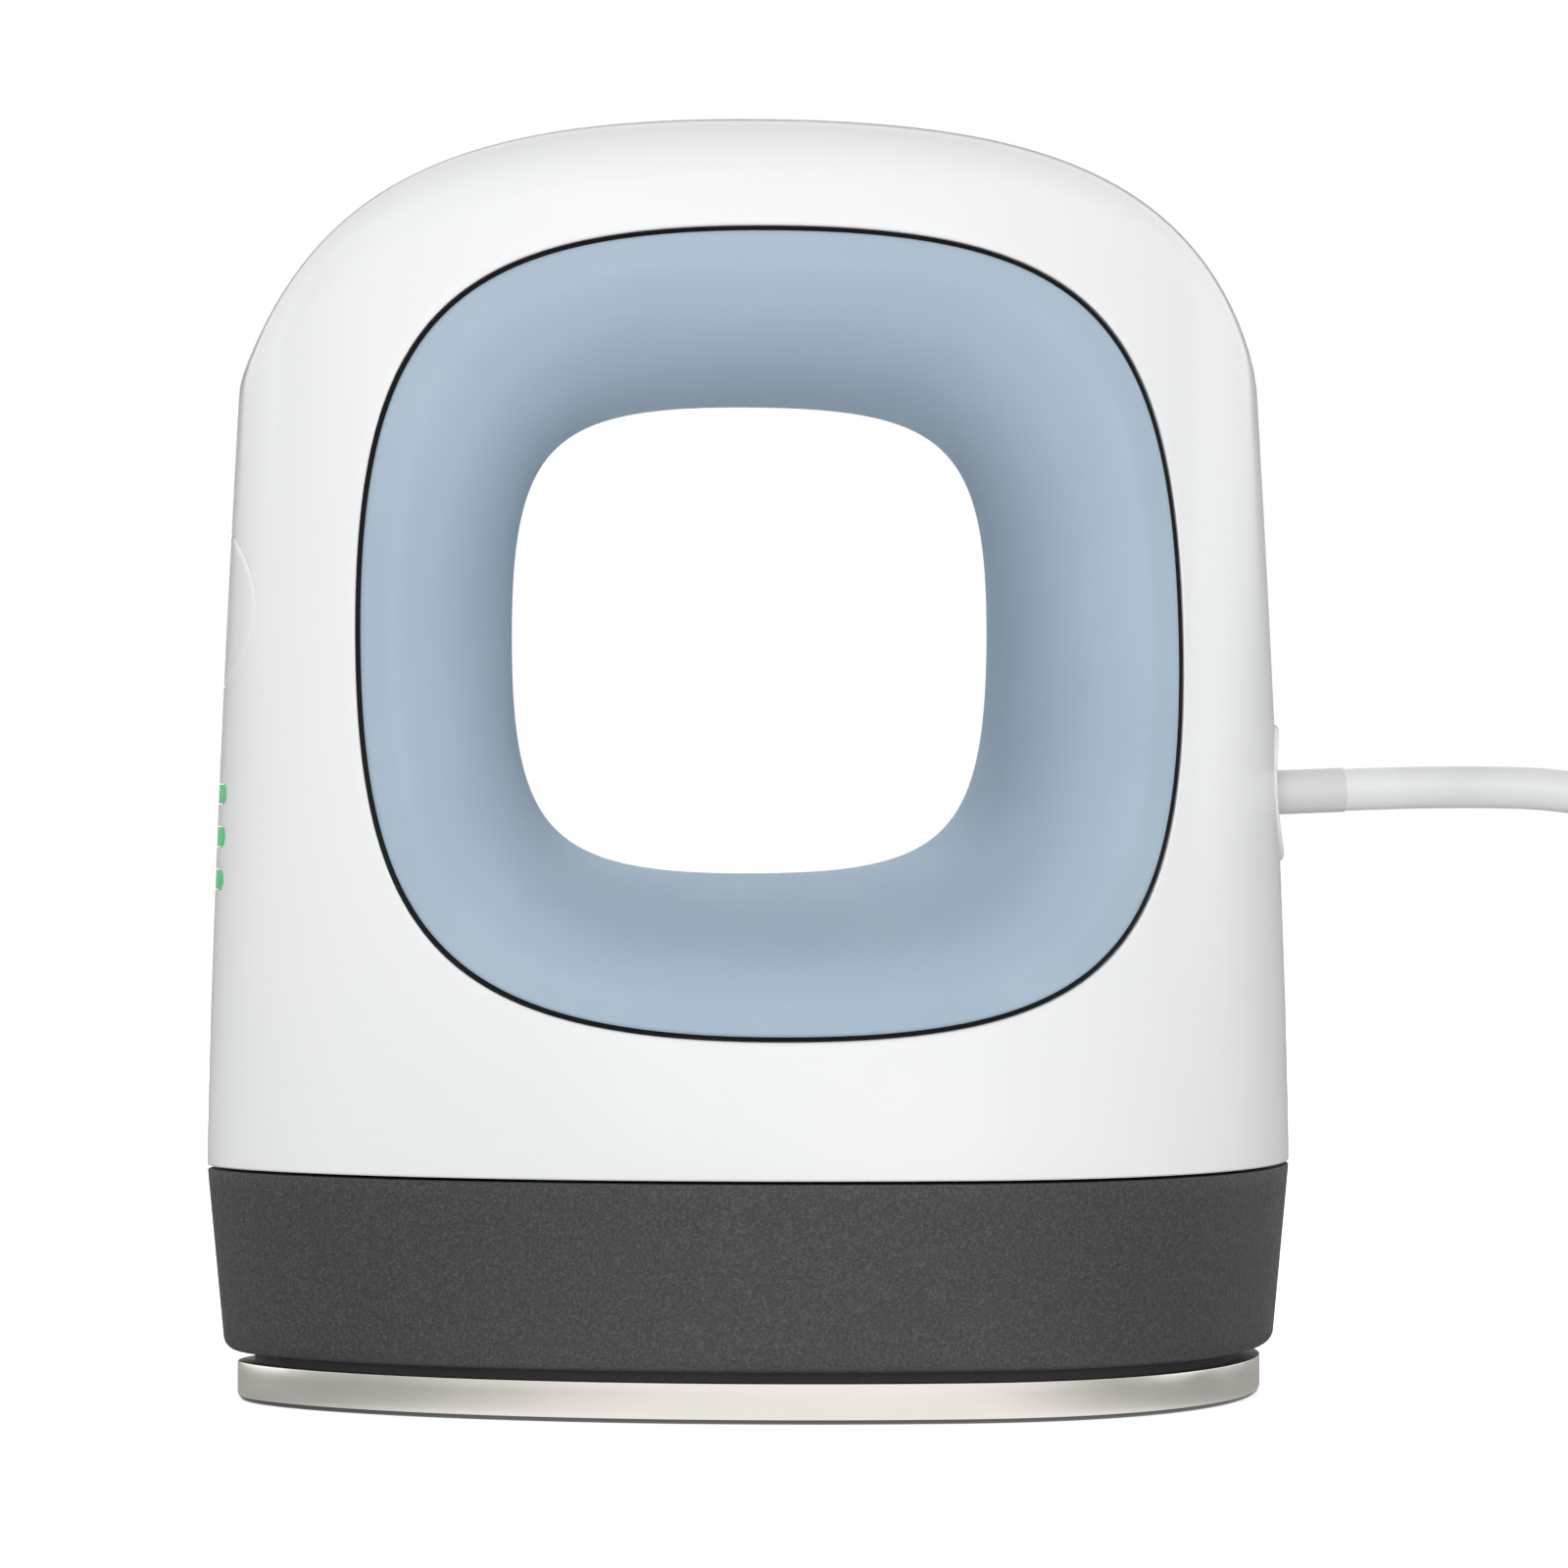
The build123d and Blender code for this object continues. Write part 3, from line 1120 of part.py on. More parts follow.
with BuildPart() as cord_coil:
    with BuildSketch(Plane.XZ.offset(-COIL_Y)):
        with Locations((COIL_X + COIL_MEAN_RADIUS, coil_height / 2)):
            RectangleRounded(coil_width, coil_height, cord_radius - FIT)
    revolve(axis=Axis((COIL_X, COIL_Y, 0), (0, 0, 1)))
    # The first and the last turn leave along their tangents.
    with BuildSketch(Plane((COIL_X, COIL_Y - coil_outer_turn, cord_radius), z_dir=(-1, 0, 0))):
        Circle(cord_radius)
    extrude(amount=COIL_STUB)
    with BuildSketch(Plane((COIL_X, COIL_Y - coil_outer_turn, coil_top_turn), z_dir=(1, 0, 0))):
        Circle(cord_radius)
    extrude(amount=COIL_STUB)
    add(coil_tie.part, mode=Mode.SUBTRACT)
write(cord_coil.part, "cord_coil")

plug_height = coil_height + PLUG_DEPTH / 2
tail_start = (COIL_X + COIL_STUB, COIL_Y - coil_outer_turn, coil_top_turn)
tail_end = (PLUG_CABLE_X, PLUG_Y, plug_height)
write(cord_tube([tail_start, *TAIL_ROUTE, tail_end], "cord_tail"), "cord_tail")

plug_plane = Plane(tail_end, x_dir=(0, 1, 0), z_dir=(-1, 0, 0))
plug_front = PLUG_RELIEF_LENGTH + PLUG_LENGTH
with BuildPart() as plug_body:
    for place, diameter in ((0, PLUG_RELIEF_THIN), (PLUG_RELIEF_LENGTH, PLUG_RELIEF_THICK)):
        with BuildSketch(plug_plane.offset(place)):
            Circle(diameter / 2)
    loft()
    with BuildSketch(plug_plane.offset(PLUG_RELIEF_LENGTH)):
        RectangleRounded(PLUG_WIDTH, PLUG_DEPTH, PLUG_ROUNDING)
    extrude(amount=PLUG_LENGTH)
    fillet(plug_body.faces().sort_by(Axis.X)[0].edges(), radius=PLUG_EDGE)
write(plug_body.part, "plug_body")

blade_ys = (-BLADE_SPACING / 2, BLADE_SPACING / 2)
with BuildPart() as plug_blades:
    with BuildSketch(plug_plane.offset(plug_front)):
        with Locations(*[(y, 0) for y in blade_ys]):
            Rectangle(BLADE_THICKNESS, BLADE_WIDTH)
    extrude(amount=BLADE_LENGTH)
    chamfer(
        plug_blades.faces().group_by(Axis.X)[0].edges().filter_by(Axis.Z),
        length=BLADE_THICKNESS / 3,
    )
    with BuildSketch(Plane.XZ.offset(-FAR)):
        with Locations((PLUG_CABLE_X - plug_front - BLADE_LENGTH + BLADE_HOLE_FROM_TIP, plug_height)):
            Circle(BLADE_HOLE / 2)
    extrude(amount=2 * FAR, mode=Mode.SUBTRACT)
write(plug_blades.part, "plug_blades")
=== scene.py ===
import math

import bmesh
import bpy
import numpy as np
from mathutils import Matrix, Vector


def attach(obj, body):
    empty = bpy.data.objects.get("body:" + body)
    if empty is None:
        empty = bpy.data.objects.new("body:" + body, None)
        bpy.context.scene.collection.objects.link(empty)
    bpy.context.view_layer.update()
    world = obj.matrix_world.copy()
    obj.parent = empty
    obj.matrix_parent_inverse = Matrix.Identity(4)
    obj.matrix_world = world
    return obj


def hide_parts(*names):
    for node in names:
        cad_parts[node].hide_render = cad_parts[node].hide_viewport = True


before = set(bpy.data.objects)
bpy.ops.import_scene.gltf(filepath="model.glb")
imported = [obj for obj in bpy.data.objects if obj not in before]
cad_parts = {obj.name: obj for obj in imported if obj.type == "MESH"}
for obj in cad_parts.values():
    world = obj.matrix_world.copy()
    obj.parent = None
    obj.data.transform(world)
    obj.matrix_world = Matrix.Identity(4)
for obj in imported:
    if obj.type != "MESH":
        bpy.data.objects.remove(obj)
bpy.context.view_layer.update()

# Looks of a mini handheld heat press: glossy casing, soft-lined hand hole, dark base, heated plate, lead.
# Forms are worked out in millimetres in the construction's frame and turned to metres when a mesh is made.

MM = 0.001

# ---- driving sizes, in millimetres
PLATE_LENGTH, PLATE_WIDTH, PLATE_THICKNESS = 82.6, 48.8, 3.2
# SOLE_COAT_AND_SHADE: height below which the plate is painted dark, for the sole's coat and painted shade on
# its rounded edge
SOLE_ROUNDING, SOLE_COAT_AND_SHADE, SOLE_FLAT = 0.8, 0.42, 3.0
RIM_LINES = (1.4, 2.1)  # heights of rows on the plate's rim
PLATE_EDGE = ((0.0, 0.1), (0.03, 0.03), (0.1, 0.0))  # how far in, and how far below the top
PAD_INSET, PAD_HEIGHT = 7.0, 3.0
SKIRT_FOOT_LENGTH, SKIRT_FOOT_WIDTH, SKIRT_BOTTOM = 84.6, 50.0, 4.0
SKIRT_WALL, SKIRT_FOOT_ROUNDING = 2.2, 1.1
SKIRT_LEDGE, SKIRT_FLOOR = 1.6, 1.8
SEAM_HEIGHT, SEAM_GAP = 18.8, 0.25
SEAM_LENGTH, SEAM_WIDTH = 87.4, 51.4
CROWN_HEIGHT, TOP_LENGTH, TOP_WIDTH, LEAN_POWER = 101.8, 79.8, 28.2, 1.35
SEAM_WIDEST_X, TOP_WIDEST_X = 14.0, 11.0
NOSE_TIP, NOSE_FLANK = (0.32, 0.78), (0.63, 0.60)  # at the seam and at the top
REAR_TIP, REAR_FLANK = (0.36, 0.60), (0.69, 0.63)
ARCH_SPRING, ARCH_SPAN, ARCH_FULNESS, CROWN_ROUNDING = 45.0, 90.4, 0.80, 6.5
CASING_WALL = 2.2
RING_MIDDLE = 60.9
HOLE = (38.8, 42.0, 79.6, 0.84)  # width, bottom, top, fulness of the corners
RIM = (64.8, 29.4, 92.8, 0.783)
RIM_BAND, GRIP_GAP, GRIP_WALL = 2.8, 0.38, 2.2
BUTTON_HEIGHT, BUTTON_DIAMETER, BUTTON_GAP = 63.0, 12.1, 0.15
LIGHT_HEIGHTS, LIGHT_WIDTH, LIGHT_THICKNESS, LIGHT_GAP = (48.4, 45.0, 41.6), 6.0, 1.5, 0.1
LIGHT_DEPTH, LIGHT_PROUD, LIGHT_EDGE = 2.0, 0.05, 0.1
RELIEF_THIN, RELIEF_THICK = 5.0, 8.4
RIBS, FIRST_RIB, LAST_RIB = 7, 1.2, 10.8  # how many, and the places of the ends' ribs before the cable's end
RIB_SHARE, RIB_EDGE = 0.11, 0.01  # a rib's thickness as a share of its radius
EXIT_HEIGHT, EXIT_TILT, SOCKET_DIAMETER, SOCKET_GAP = 48.5, 2.2, 11.1, 0.1
LIP_SIDES = 0.1  # how far the socket's lip stands out at its sides
LIP_PROFILE = (  # radius, and how far it stands out above and below
    (5.35, -0.3), (5.55, -0.3), (5.55, 0.22), (5.5, 0.36), (5.4, 0.43), (5.28, 0.42), (5.1, 0.24),
    (4.92, 0.05), (4.84, -0.1), (4.84, -0.3),
)
GUARD_REACH = 5.75
CORD_DIAMETER = 3.5
COIL_X, COIL_Y, COIL_MEAN_RADIUS, COIL_PITCH = 138.5, 1.7, 21.0, 3.55
COIL_COLUMNS, COIL_ROWS, COIL_STUB = 3, 4, 14.5
CORD_ROUTE = [
    (57.0, 0.0, 49.05), (69.0, -1.2, 48.7), (80.0, -4.0, 44.6),
    (88.5, -8.0, 36.4), (94.4, -12.4, 26.6), (98.9, -16.2, 17.2),
    (104.2, -19.6, 9.2), (110.0, -21.8, 4.2), (116.6, -22.85, 1.75),
]
TAIL_ROUTE = [
    (163.7, -22.85, 12.4), (173.0, -17.5, 13.4), (178.35, -8.2, 15.3),
    (178.35, 2.5, 17.5), (173.0, 11.8, 19.4), (163.7, 17.15, 20.15),
]
PLUG_CABLE_END = (153.0, 17.15, 20.15)

# ---- how finely the forms are drawn
AROUND = 288  # columns round the ring and round the base
OVER_ARCH, ALONG_SEAM = 192, 96  # the casing's columns over its arch and along its seam
RAYS = 150  # rays that find one section of the casing
SKIN_ROWS = 52  # rows from the parting line to the rim
THROAT_ROWS = 30
HALVINGS, CURVE_HALVINGS = 26, 20  # steps of the searches for the form and for a place on a curve
LIGHT_CORNERS, LIGHT_RINGS = 40, 6
TURN_STEPS = 16  # points of the cord in one turn of its coil


def between(low, high, share):
    return low + (high - low) * share


def add_object(name, data):
    """New object in the scene, at the origin."""
    made = bpy.data.objects.new(name, data)
    bpy.context.scene.collection.objects.link(made)
    return made


# ---- camera, light and stage
VIEW_TURN, VIEW_DISTANCE, VIEW_HEIGHT, VIEW_SIDE = 6.5, 470.0, 49.2, 2.6
LENS, SENSOR = 133.8, 36.0


def add_camera():
    """Level camera a little to the nose's side of square on."""
    turn = math.radians(VIEW_TURN)
    ahead = Vector((math.sin(turn), math.cos(turn), 0))
    across = Vector((math.cos(turn), -math.sin(turn), 0))
    place = across * VIEW_SIDE - ahead * VIEW_DISTANCE + Vector((0, 0, VIEW_HEIGHT))
    data = bpy.data.cameras.new("camera")
    data.lens = LENS
    data.sensor_width = SENSOR
    camera = add_object("camera", data)
    camera.location = place * MM
    camera.rotation_euler = (math.pi / 2, 0, -turn)
    bpy.context.scene.camera = camera


WHITE = (1, 1, 1, 1)


def linear(text):
    """An sRGB hex colour as linear red, green, blue and alpha."""
    shares = [int(text[i:i + 2], 16) / 255 for i in (0, 2, 4)]
    return [c / 12.92 if c <= 0.04045 else ((c + 0.055) / 1.055) ** 2.4 for c in shares] + [1.0]


def empty_tree(owner):
    """Node tree of a material or a world, with nothing in it."""
    owner.use_nodes = True
    owner.node_tree.nodes.clear()
    return owner.node_tree


def add_node(tree, kind, settings=None, **inputs):
    """Adds a node with its settings, its inputs set to values or linked to sockets, and gives its outputs."""
    made = tree.nodes.new(kind)
    for name, value in (settings or {}).items():
        setattr(made, name, value)
    for name, value in inputs.items():
        socket = made.inputs[int(name[1:])] if name[0] == "i" and name[1:].isdigit() else made.inputs[name]
        if isinstance(value, bpy.types.NodeSocket):
            tree.links.new(value, socket)
        else:
            socket.default_value = value
    return made.outputs


def reckon(tree, operation, *values):
    """Result of a sum on values and sockets."""
    inputs = {f"i{at}": value for at, value in enumerate(values)}
    return add_node(tree, "ShaderNodeMath", {"operation": operation}, **inputs)[0]


def remap(tree, value, low, high, to_low=0.0, to_high=1.0, smooth=False):
    """A value carried from one range to another."""
    limits = {"From Min": low, "From Max": high, "To Min": to_low, "To Max": to_high}
    kind = {"interpolation_type": "SMOOTHSTEP" if smooth else "LINEAR"}
    return add_node(tree, "ShaderNodeMapRange", kind, Value=value, **limits)["Result"]


def blend(tree, share, first, second):
    return add_node(tree, "ShaderNodeMixShader", i0=share, i1=first, i2=second)[0]


def mix_colours(tree, share, first, second):
    return add_node(tree, "ShaderNodeMix", {"data_type": "RGBA"}, i0=share, i6=first, i7=second)[2]


def axis_of(tree, vector, axis):
    return add_node(tree, "ShaderNodeSeparateXYZ", Vector=vector)[axis]


def seen_directly(tree):
    """1 in gloss, and 1 where a ray comes from the camera or through glass."""
    path = add_node(tree, "ShaderNodeLightPath")
    return path["Is Glossy Ray"], reckon(tree, "MAXIMUM", path["Is Camera Ray"], path["Is Transmission Ray"])


AMBIENT = 0.2  # strength of the even light
# What reflections see round the studio, from its front (0) over its sides (a half) to its back (1).
NEAR_TABLE = ((0.02, 1.12), (0.1, 0.88), (0.22, 0.38), (1.0, 0.38))
AT_PANELS = ((0.02, 1.05), (0.1, 0.86), (0.24, 0.5), (0.42, 0.5), (0.52, 1.7), (0.87, 1.7), (0.93, 0.1))
CEILING = 1.4
WALL_BLENDS = ((0.05, 0.13), (0.35, 0.7))  # heights over which the panels, and then the ceiling, come in
PANEL_TURN = 0.1  # how far the panels are turned to the nose's side


def studio_wall(tree, around, levels):
    """Grey levels round the studio."""
    wall = add_node(tree, "ShaderNodeValToRGB", Fac=around)[0].node
    wall.color_ramp.interpolation = "EASE"
    while len(wall.color_ramp.elements) < len(levels):
        wall.color_ramp.elements.new(0.5)
    for element, (spot, level) in zip(wall.color_ramp.elements, levels):
        element.position = spot
        element.color = (level, level, level, 1)
    return wall.outputs["Color"]


def add_world():
    """White to the eye; panels with grey between them in reflections; a dimmer even light elsewhere."""
    world = bpy.data.worlds.new("studio")
    tree = empty_tree(world)
    in_gloss, direct = seen_directly(tree)
    heading = add_node(tree, "ShaderNodeTexCoord")["Generated"]
    walls = []
    for turn, levels in ((0.0, NEAR_TABLE), (PANEL_TURN, AT_PANELS)):
        towards = add_node(tree, "ShaderNodeVectorMath", {"operation": "DOT_PRODUCT"}, i0=heading,
                           i1=(turn, 1, 0))["Value"]
        walls.append(studio_wall(tree, remap(tree, towards, -1.0, 1.0), levels))
    up = axis_of(tree, heading, "Z")
    seen = walls[0]
    for level, (low, high) in zip((walls[1], (CEILING, CEILING, CEILING, 1)), WALL_BLENDS):
        seen = mix_colours(tree, remap(tree, up, low, high, smooth=True), seen, level)

    def light(colour, strength=1.0):
        return add_node(tree, "ShaderNodeBackground", Color=colour, Strength=strength)[0]

    mirrored = blend(tree, in_gloss, light(linear("F6F8FA"), AMBIENT), light(seen))
    add_node(tree, "ShaderNodeOutputWorld", Surface=blend(tree, direct, mirrored, light(WHITE)))
    bpy.context.scene.world = world


LAMP_TARGET = (0, 0, 55)


def add_softbox(name, place, size, watts):
    """Rectangular lamp that faces the object and stays out of its gloss; places and sizes in millimetres."""
    data = bpy.data.lights.new(name, "AREA")
    data.shape = "RECTANGLE"
    data.size, data.size_y = size[0] * MM, size[1] * MM
    data.energy = watts
    lamp = add_object(name, data)
    lamp.location = Vector(place) * MM
    facing = (Vector(LAMP_TARGET) - Vector(place)).normalized()
    lamp.rotation_euler = facing.to_track_quat("-Z", "Y").to_euler()
    lamp.visible_camera = False
    lamp.visible_glossy = False


def add_lamps():
    add_softbox("key", (-50, -700, 210), (560, 480), 3.9)
    add_softbox("crown", (0, 60, 620), (500, 500), 0.3)
    add_softbox("left", (-640, 60, 90), (300, 420), 0.8)
    add_softbox("right", (640, 60, 90), (300, 420), 1.0)
    add_softbox("rear", (0, 600, 360), (300, 300), 3.8)


TABLE_REACH = 3.0  # metres from the table's middle to its edges
GREY_SIDE = 0.4  # the table's sides in reflections
SIDE_FALL = (0.018, 0.045)  # metres from the middle over which it falls to that grey
TABLE_GLOW = 0.1  # even light that the table gives back
FAR_GLOW = (0.12, 0.5, 0.78, 1.0)  # metres from the middle, and the glow there that the camera sees


def add_floor():
    """White table top that keeps the object's shadow; its far part and its sides are lit more evenly."""
    mesh = bpy.data.meshes.new("table_top")
    corners = [(x * TABLE_REACH, y * TABLE_REACH, 0) for x, y in ((-1, -1), (1, -1), (1, 1), (-1, 1))]
    mesh.from_pydata(corners, [], [(0, 1, 2, 3)])
    table = add_object("table_top", mesh)
    paper = bpy.data.materials.new("white_paper")
    tree = empty_tree(paper)
    in_gloss, direct = seen_directly(tree)
    place = add_node(tree, "ShaderNodeTexCoord")["Object"]
    matt = add_node(tree, "ShaderNodeBsdfDiffuse", Color=linear("CCCCCC"))[0]
    far = add_node(tree, "ShaderNodeVectorMath", {"operation": "LENGTH"}, i0=place)["Value"]
    aside = reckon(tree, "ABSOLUTE", axis_of(tree, place, "X"))

    def glow(strength):
        return add_node(tree, "ShaderNodeEmission", Color=WHITE, Strength=strength)[0]

    lift = blend(tree, direct, glow(TABLE_GLOW), glow(remap(tree, far, *FAR_GLOW)))
    both = add_node(tree, "ShaderNodeAddShader", i0=matt, i1=lift)[0]
    card = glow(remap(tree, aside, *SIDE_FALL, 1.0, GREY_SIDE, smooth=True))
    add_node(tree, "ShaderNodeOutputMaterial", Surface=blend(tree, in_gloss, both, card))
    mesh.materials.append(paper)


# ---- materials
def new_material(name, **shader):
    """Material with a Principled shader whose plain values are set on it, and its object coordinates."""
    material = bpy.data.materials.new(name)
    tree = empty_tree(material)
    shading = add_node(tree, "ShaderNodeBsdfPrincipled", **shader)[0]
    add_node(tree, "ShaderNodeOutputMaterial", Surface=shading)
    place = add_node(tree, "ShaderNodeTexCoord")["Object"]
    return material, tree, shading.node, place


def grains(size_mm):
    """Scale of a texture whose grains are of a size, for object coordinates in metres."""
    return 1 / (size_mm * MM)


def clouds(tree, place, size_mm, detail=2.0, **more):
    """Noise with patches of a size."""
    return add_node(tree, "ShaderNodeTexNoise", Vector=place, Scale=grains(size_mm), Detail=detail,
                    **more)["Fac"]


def two_tones(tree, value, colours, levels=(0.0, 1.0)):
    """Colour that goes from one hex colour to another between two levels of a value."""
    ramp = add_node(tree, "ShaderNodeValToRGB", Fac=value)[0].node
    for element, level, colour in zip(ramp.color_ramp.elements, levels, colours):
        element.position = level
        element.color = linear(colour)
    return ramp.outputs["Color"]


def add_relief(tree, surface, height, depth_mm, strength=1.0):
    """Fine relief of a pattern, as deep as given."""
    bump = add_node(tree, "ShaderNodeBump", Height=height, Distance=depth_mm * MM, Strength=strength)
    tree.links.new(bump["Normal"], surface.inputs["Normal"])


def dress(material, *nodes):
    """Gives construction nodes, which show or lie inside, the finish of their real material."""
    for node in nodes:
        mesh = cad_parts[node].data
        mesh.materials.clear()
        mesh.materials.append(material)
    return material


def vary_roughness(tree, surface, place, limits, size_mm):
    """Roughness that drifts between two values over patches of a size."""
    drift = remap(tree, clouds(tree, place, size_mm, 3.0), 0.3, 0.7, *limits)
    tree.links.new(drift, surface.inputs["Roughness"])


SOFT_DRIFT = (0.35, 0.65)  # levels of the noise between which a colour drifts


def finish(name, colours, patch_mm, roughness, gloss_mm, grain, nodes=(), detail=2.0, levels=SOFT_DRIFT,
           **shader):
    """Material whose colour and gloss drift over patches, with grains of a size, depth and detail.

    Without a roughness or a grain it keeps the shader's plain values.
    """
    material, tree, surface, place = new_material(name, **shader)
    colour = two_tones(tree, clouds(tree, place, patch_mm, detail), colours, levels)
    tree.links.new(colour, surface.inputs["Base Color"])
    if roughness:
        vary_roughness(tree, surface, place, roughness, gloss_mm)
    if grain:
        size_mm, depth_mm, *fineness = grain
        add_relief(tree, surface, clouds(tree, place, size_mm, *fineness), depth_mm)
    return dress(material, *nodes)


def spark_textured_pbt():
    """Heat-resistant PBT with a spark-eroded grain: dark grey with paler specks, near matt."""
    material, tree, surface, place = new_material("spark_textured_pbt", IOR=1.55)
    specks = clouds(tree, place, 0.2, 3.0, Roughness=0.6)
    tree.links.new(two_tones(tree, specks, ("323233", "505051"), (0.44, 0.7)), surface.inputs["Base Color"])
    vary_roughness(tree, surface, place, (0.5, 0.7), 0.5)
    add_relief(tree, surface, clouds(tree, place, 0.2, 3.0), 0.02)
    return material


def cast_aluminium():
    """Die-cast aluminium plate: satin rim with fine lines along it, and a thin dark coat on the sole, carried
    up its rounded edge as painted shade.
    """
    material, tree, surface, place = new_material("satin_cast_aluminium", Metallic=1.0, Roughness=0.3)
    vary_roughness(tree, surface, place, (0.26, 0.34), 3.0)
    metal = two_tones(tree, clouds(tree, place, 5.0), ("E9E4DC", "F1ECE5"))
    # Dark below a height: the sole's coat, and painted shade on the lower part of the rounded sole edge.
    coat_and_shade = reckon(tree, "LESS_THAN", axis_of(tree, place, "Z"), SOLE_COAT_AND_SHADE * MM)
    tree.links.new(mix_colours(tree, coat_and_shade, metal, linear("5E5E5F")), surface.inputs["Base Color"])
    stretched = add_node(tree, "ShaderNodeMapping", Vector=place, Scale=(1, 1, 40))[0]
    add_relief(tree, surface, clouds(tree, stretched, 4.0), 0.002, 0.6)
    return material


def amber_film():
    """Polyimide film: clear amber over copper tracks."""
    material, tree, surface, place = new_material("polyimide_film", Roughness=0.25, IOR=1.7)
    track = add_node(tree, "ShaderNodeTexWave", {"wave_type": "BANDS", "bands_direction": "X"}, Vector=place,
                     Scale=grains(12.0), Distortion=0.0)
    tree.links.new(two_tones(tree, track["Fac"], ("8E5420", "C07C2C")), surface.inputs["Base Color"])
    return material


def lit_acrylic():
    """Clear acrylic light guide, lit green from behind: an even glow under a polished face."""
    material, tree, surface, place = new_material("lit_green_acrylic", Roughness=0.12, IOR=1.49,
                                                  **{"Emission Strength": 0.33})
    green = two_tones(tree, clouds(tree, place, 1.2), ("45AE6C", "55BC7B"), SOFT_DRIFT)
    tree.links.new(green, surface.inputs["Base Color"])
    tree.links.new(green, surface.inputs["Emission Color"])
    return material


def woven_tie():
    """Black woven hook strap: ribs across and along, half a millimetre apart."""
    material, tree, surface, place = new_material("woven_nylon_strap", Roughness=0.85, IOR=1.53)
    weave = add_node(tree, "ShaderNodeTexVoronoi", Vector=place, Scale=grains(0.5))["Distance"]
    tree.links.new(two_tones(tree, weave, ("3A3A3C", "1C1C1E")), surface.inputs["Base Color"])
    add_relief(tree, surface, weave, 0.2, 0.8)
    return material


def make_finishes():
    """Materials by name: colours, size of their patches, roughness, its patches, grain and nodes in them."""
    made = [
        # High-gloss ABS from a polished tool: clear reflections with the least waviness.
        finish("polished_white_abs", ("F1F2F2", "F4F4F4"), 40.0, (0.14, 0.18), 20.0, (6.0, 0.01),
               ["cord_socket"], IOR=1.5),
        # Soft-touch overmould: satin and powdery. Its real grain is near 0.05 mm; 0.25 mm lets it show.
        finish("soft_touch_tpe", ("AABCCC", "AEC0CF"), 14.0, (0.56, 0.64), 5.0, (0.25, 0.006), IOR=1.48,
               **{"Specular IOR Level": 0.3}),
        # PVC sheath: soft sheen with faint drawing ripples.
        finish("extruded_white_pvc", ("DFE0E0", "E5E6E6"), 9.0, (0.34, 0.44), 3.0, (0.5, 0.006), IOR=1.53),
        # Zinc-plated steel: fine rolled lines and uneven gloss.
        finish("bright_zinc_steel", ("B9BDC2", "CACDD0"), 1.5, (0.22, 0.38), 0.8, (0.3, 0.002),
               ["heater_clamp", "plate_posts", "plate_screws", "clamp_screws", "board_screws",
                "casing_screws"],
               Metallic=1.0, Roughness=0.28),
        # Nickel over brass: warm, with light drawing lines.
        finish("bright_nickel", ("CFCAC0", "DAD6CE"), 2.0, (0.14, 0.26), 1.0, (0.4, 0.001), ["plug_blades"],
               Metallic=1.0, Roughness=0.18),
        # Rolled aluminium sheet: bright, with faint rolling lines.
        finish("rolled_aluminium", ("D6D8DA", "E0E1E2"), 3.0, (0.16, 0.3), 1.2, (0.5, 0.002), ["heat_shield"],
               Metallic=1.0, Roughness=0.2),
        # Ceramic fibre felt: soft off-white with tangled fibres.
        finish("ceramic_fibre_felt", ("E4E0D6", "F2EFE8"), 0.8, None, None, (0.3, 0.1, 6.0),
               ["insulation_pad"], detail=6.0, Roughness=0.95, IOR=1.4),
        # Glass-epoxy board: a faint copper pattern under a satin green lacquer.
        finish("green_solder_mask", ("245B3A", "2F7148"), 2.5, (0.25, 0.4), 1.5, (0.3, 0.01),
               ["power_board", "control_board"], detail=0.0, levels=(0.48, 0.52), IOR=1.55),
        # Thin drawn glass tube.
        finish("drawn_glass", ("D6E2E2", "E6EEEE"), 2.0, None, None, None, ["board_fuse", "thermistor"],
               Roughness=0.05, IOR=1.5, Alpha=0.45),
    ]
    # Moulded and extruded plastics: nearly even colour, slight flow clouding and a fine tool grain.
    for name, colours, roughness, grain_mm, nodes in (
        ("matt_dark_nylon", ("29292A", "333334"), (0.6, 0.75), 0.25, ["neck_ring", "base_carrier"]),
        ("satin_grey_nylon", ("CFCFCF", "D5D5D5"), (0.38, 0.46), 0.4, ["cord_guard", "guard_retainer"]),
        ("matt_white_pvc", ("E6E7E7", "EFEFEF"), (0.45, 0.55), 0.35, ["plug_body"]),
        ("moulded_black_epoxy", ("1B1C1D", "26272A"), (0.5, 0.65), 0.2,
         ["triac", "control_chip", "push_switch"]),
        ("gloss_yellow_pbt", ("CFA935", "DCB841"), (0.25, 0.35), 0.5, ["filter_capacitor"]),
        ("gloss_black_sleeve", ("202227", "2A2C32"), (0.22, 0.34), 0.5, ["smoothing_capacitor"]),
        ("satin_green_nylon", ("388553", "429460"), (0.4, 0.5), 0.4, ["terminal_block"]),
        ("satin_ivory_pom", ("DFDED8", "E8E7E3"), (0.35, 0.45), 0.4, ["switch_plunger"]),
        ("matt_red_silicone", ("A8453E", "B85048"), (0.6, 0.7), 0.3, ["heater_leads", "sensor_leads"]),
        ("satin_blue_pvc", ("38699F", "4175AD"), (0.4, 0.5), 0.4, ["mains_leads", "control_ribbon"]),
        ("satin_drawn_case", ("BEC0C1", "CCCDCE"), (0.3, 0.42), 0.4, ["thermal_cutoff"]),
        # Hard black edge in the grips' gap: its near-black colour also paints the shade in the gap.
        ("black_substrate_and_gap_shade", ("060606", "0A0A0A"), (0.7, 0.8), 0.3, []),
    ):
        made.append(finish(name, colours, 18.0, roughness, 9.0, (grain_mm, 0.004), nodes, IOR=1.5))
    return {material.name: material for material in made}


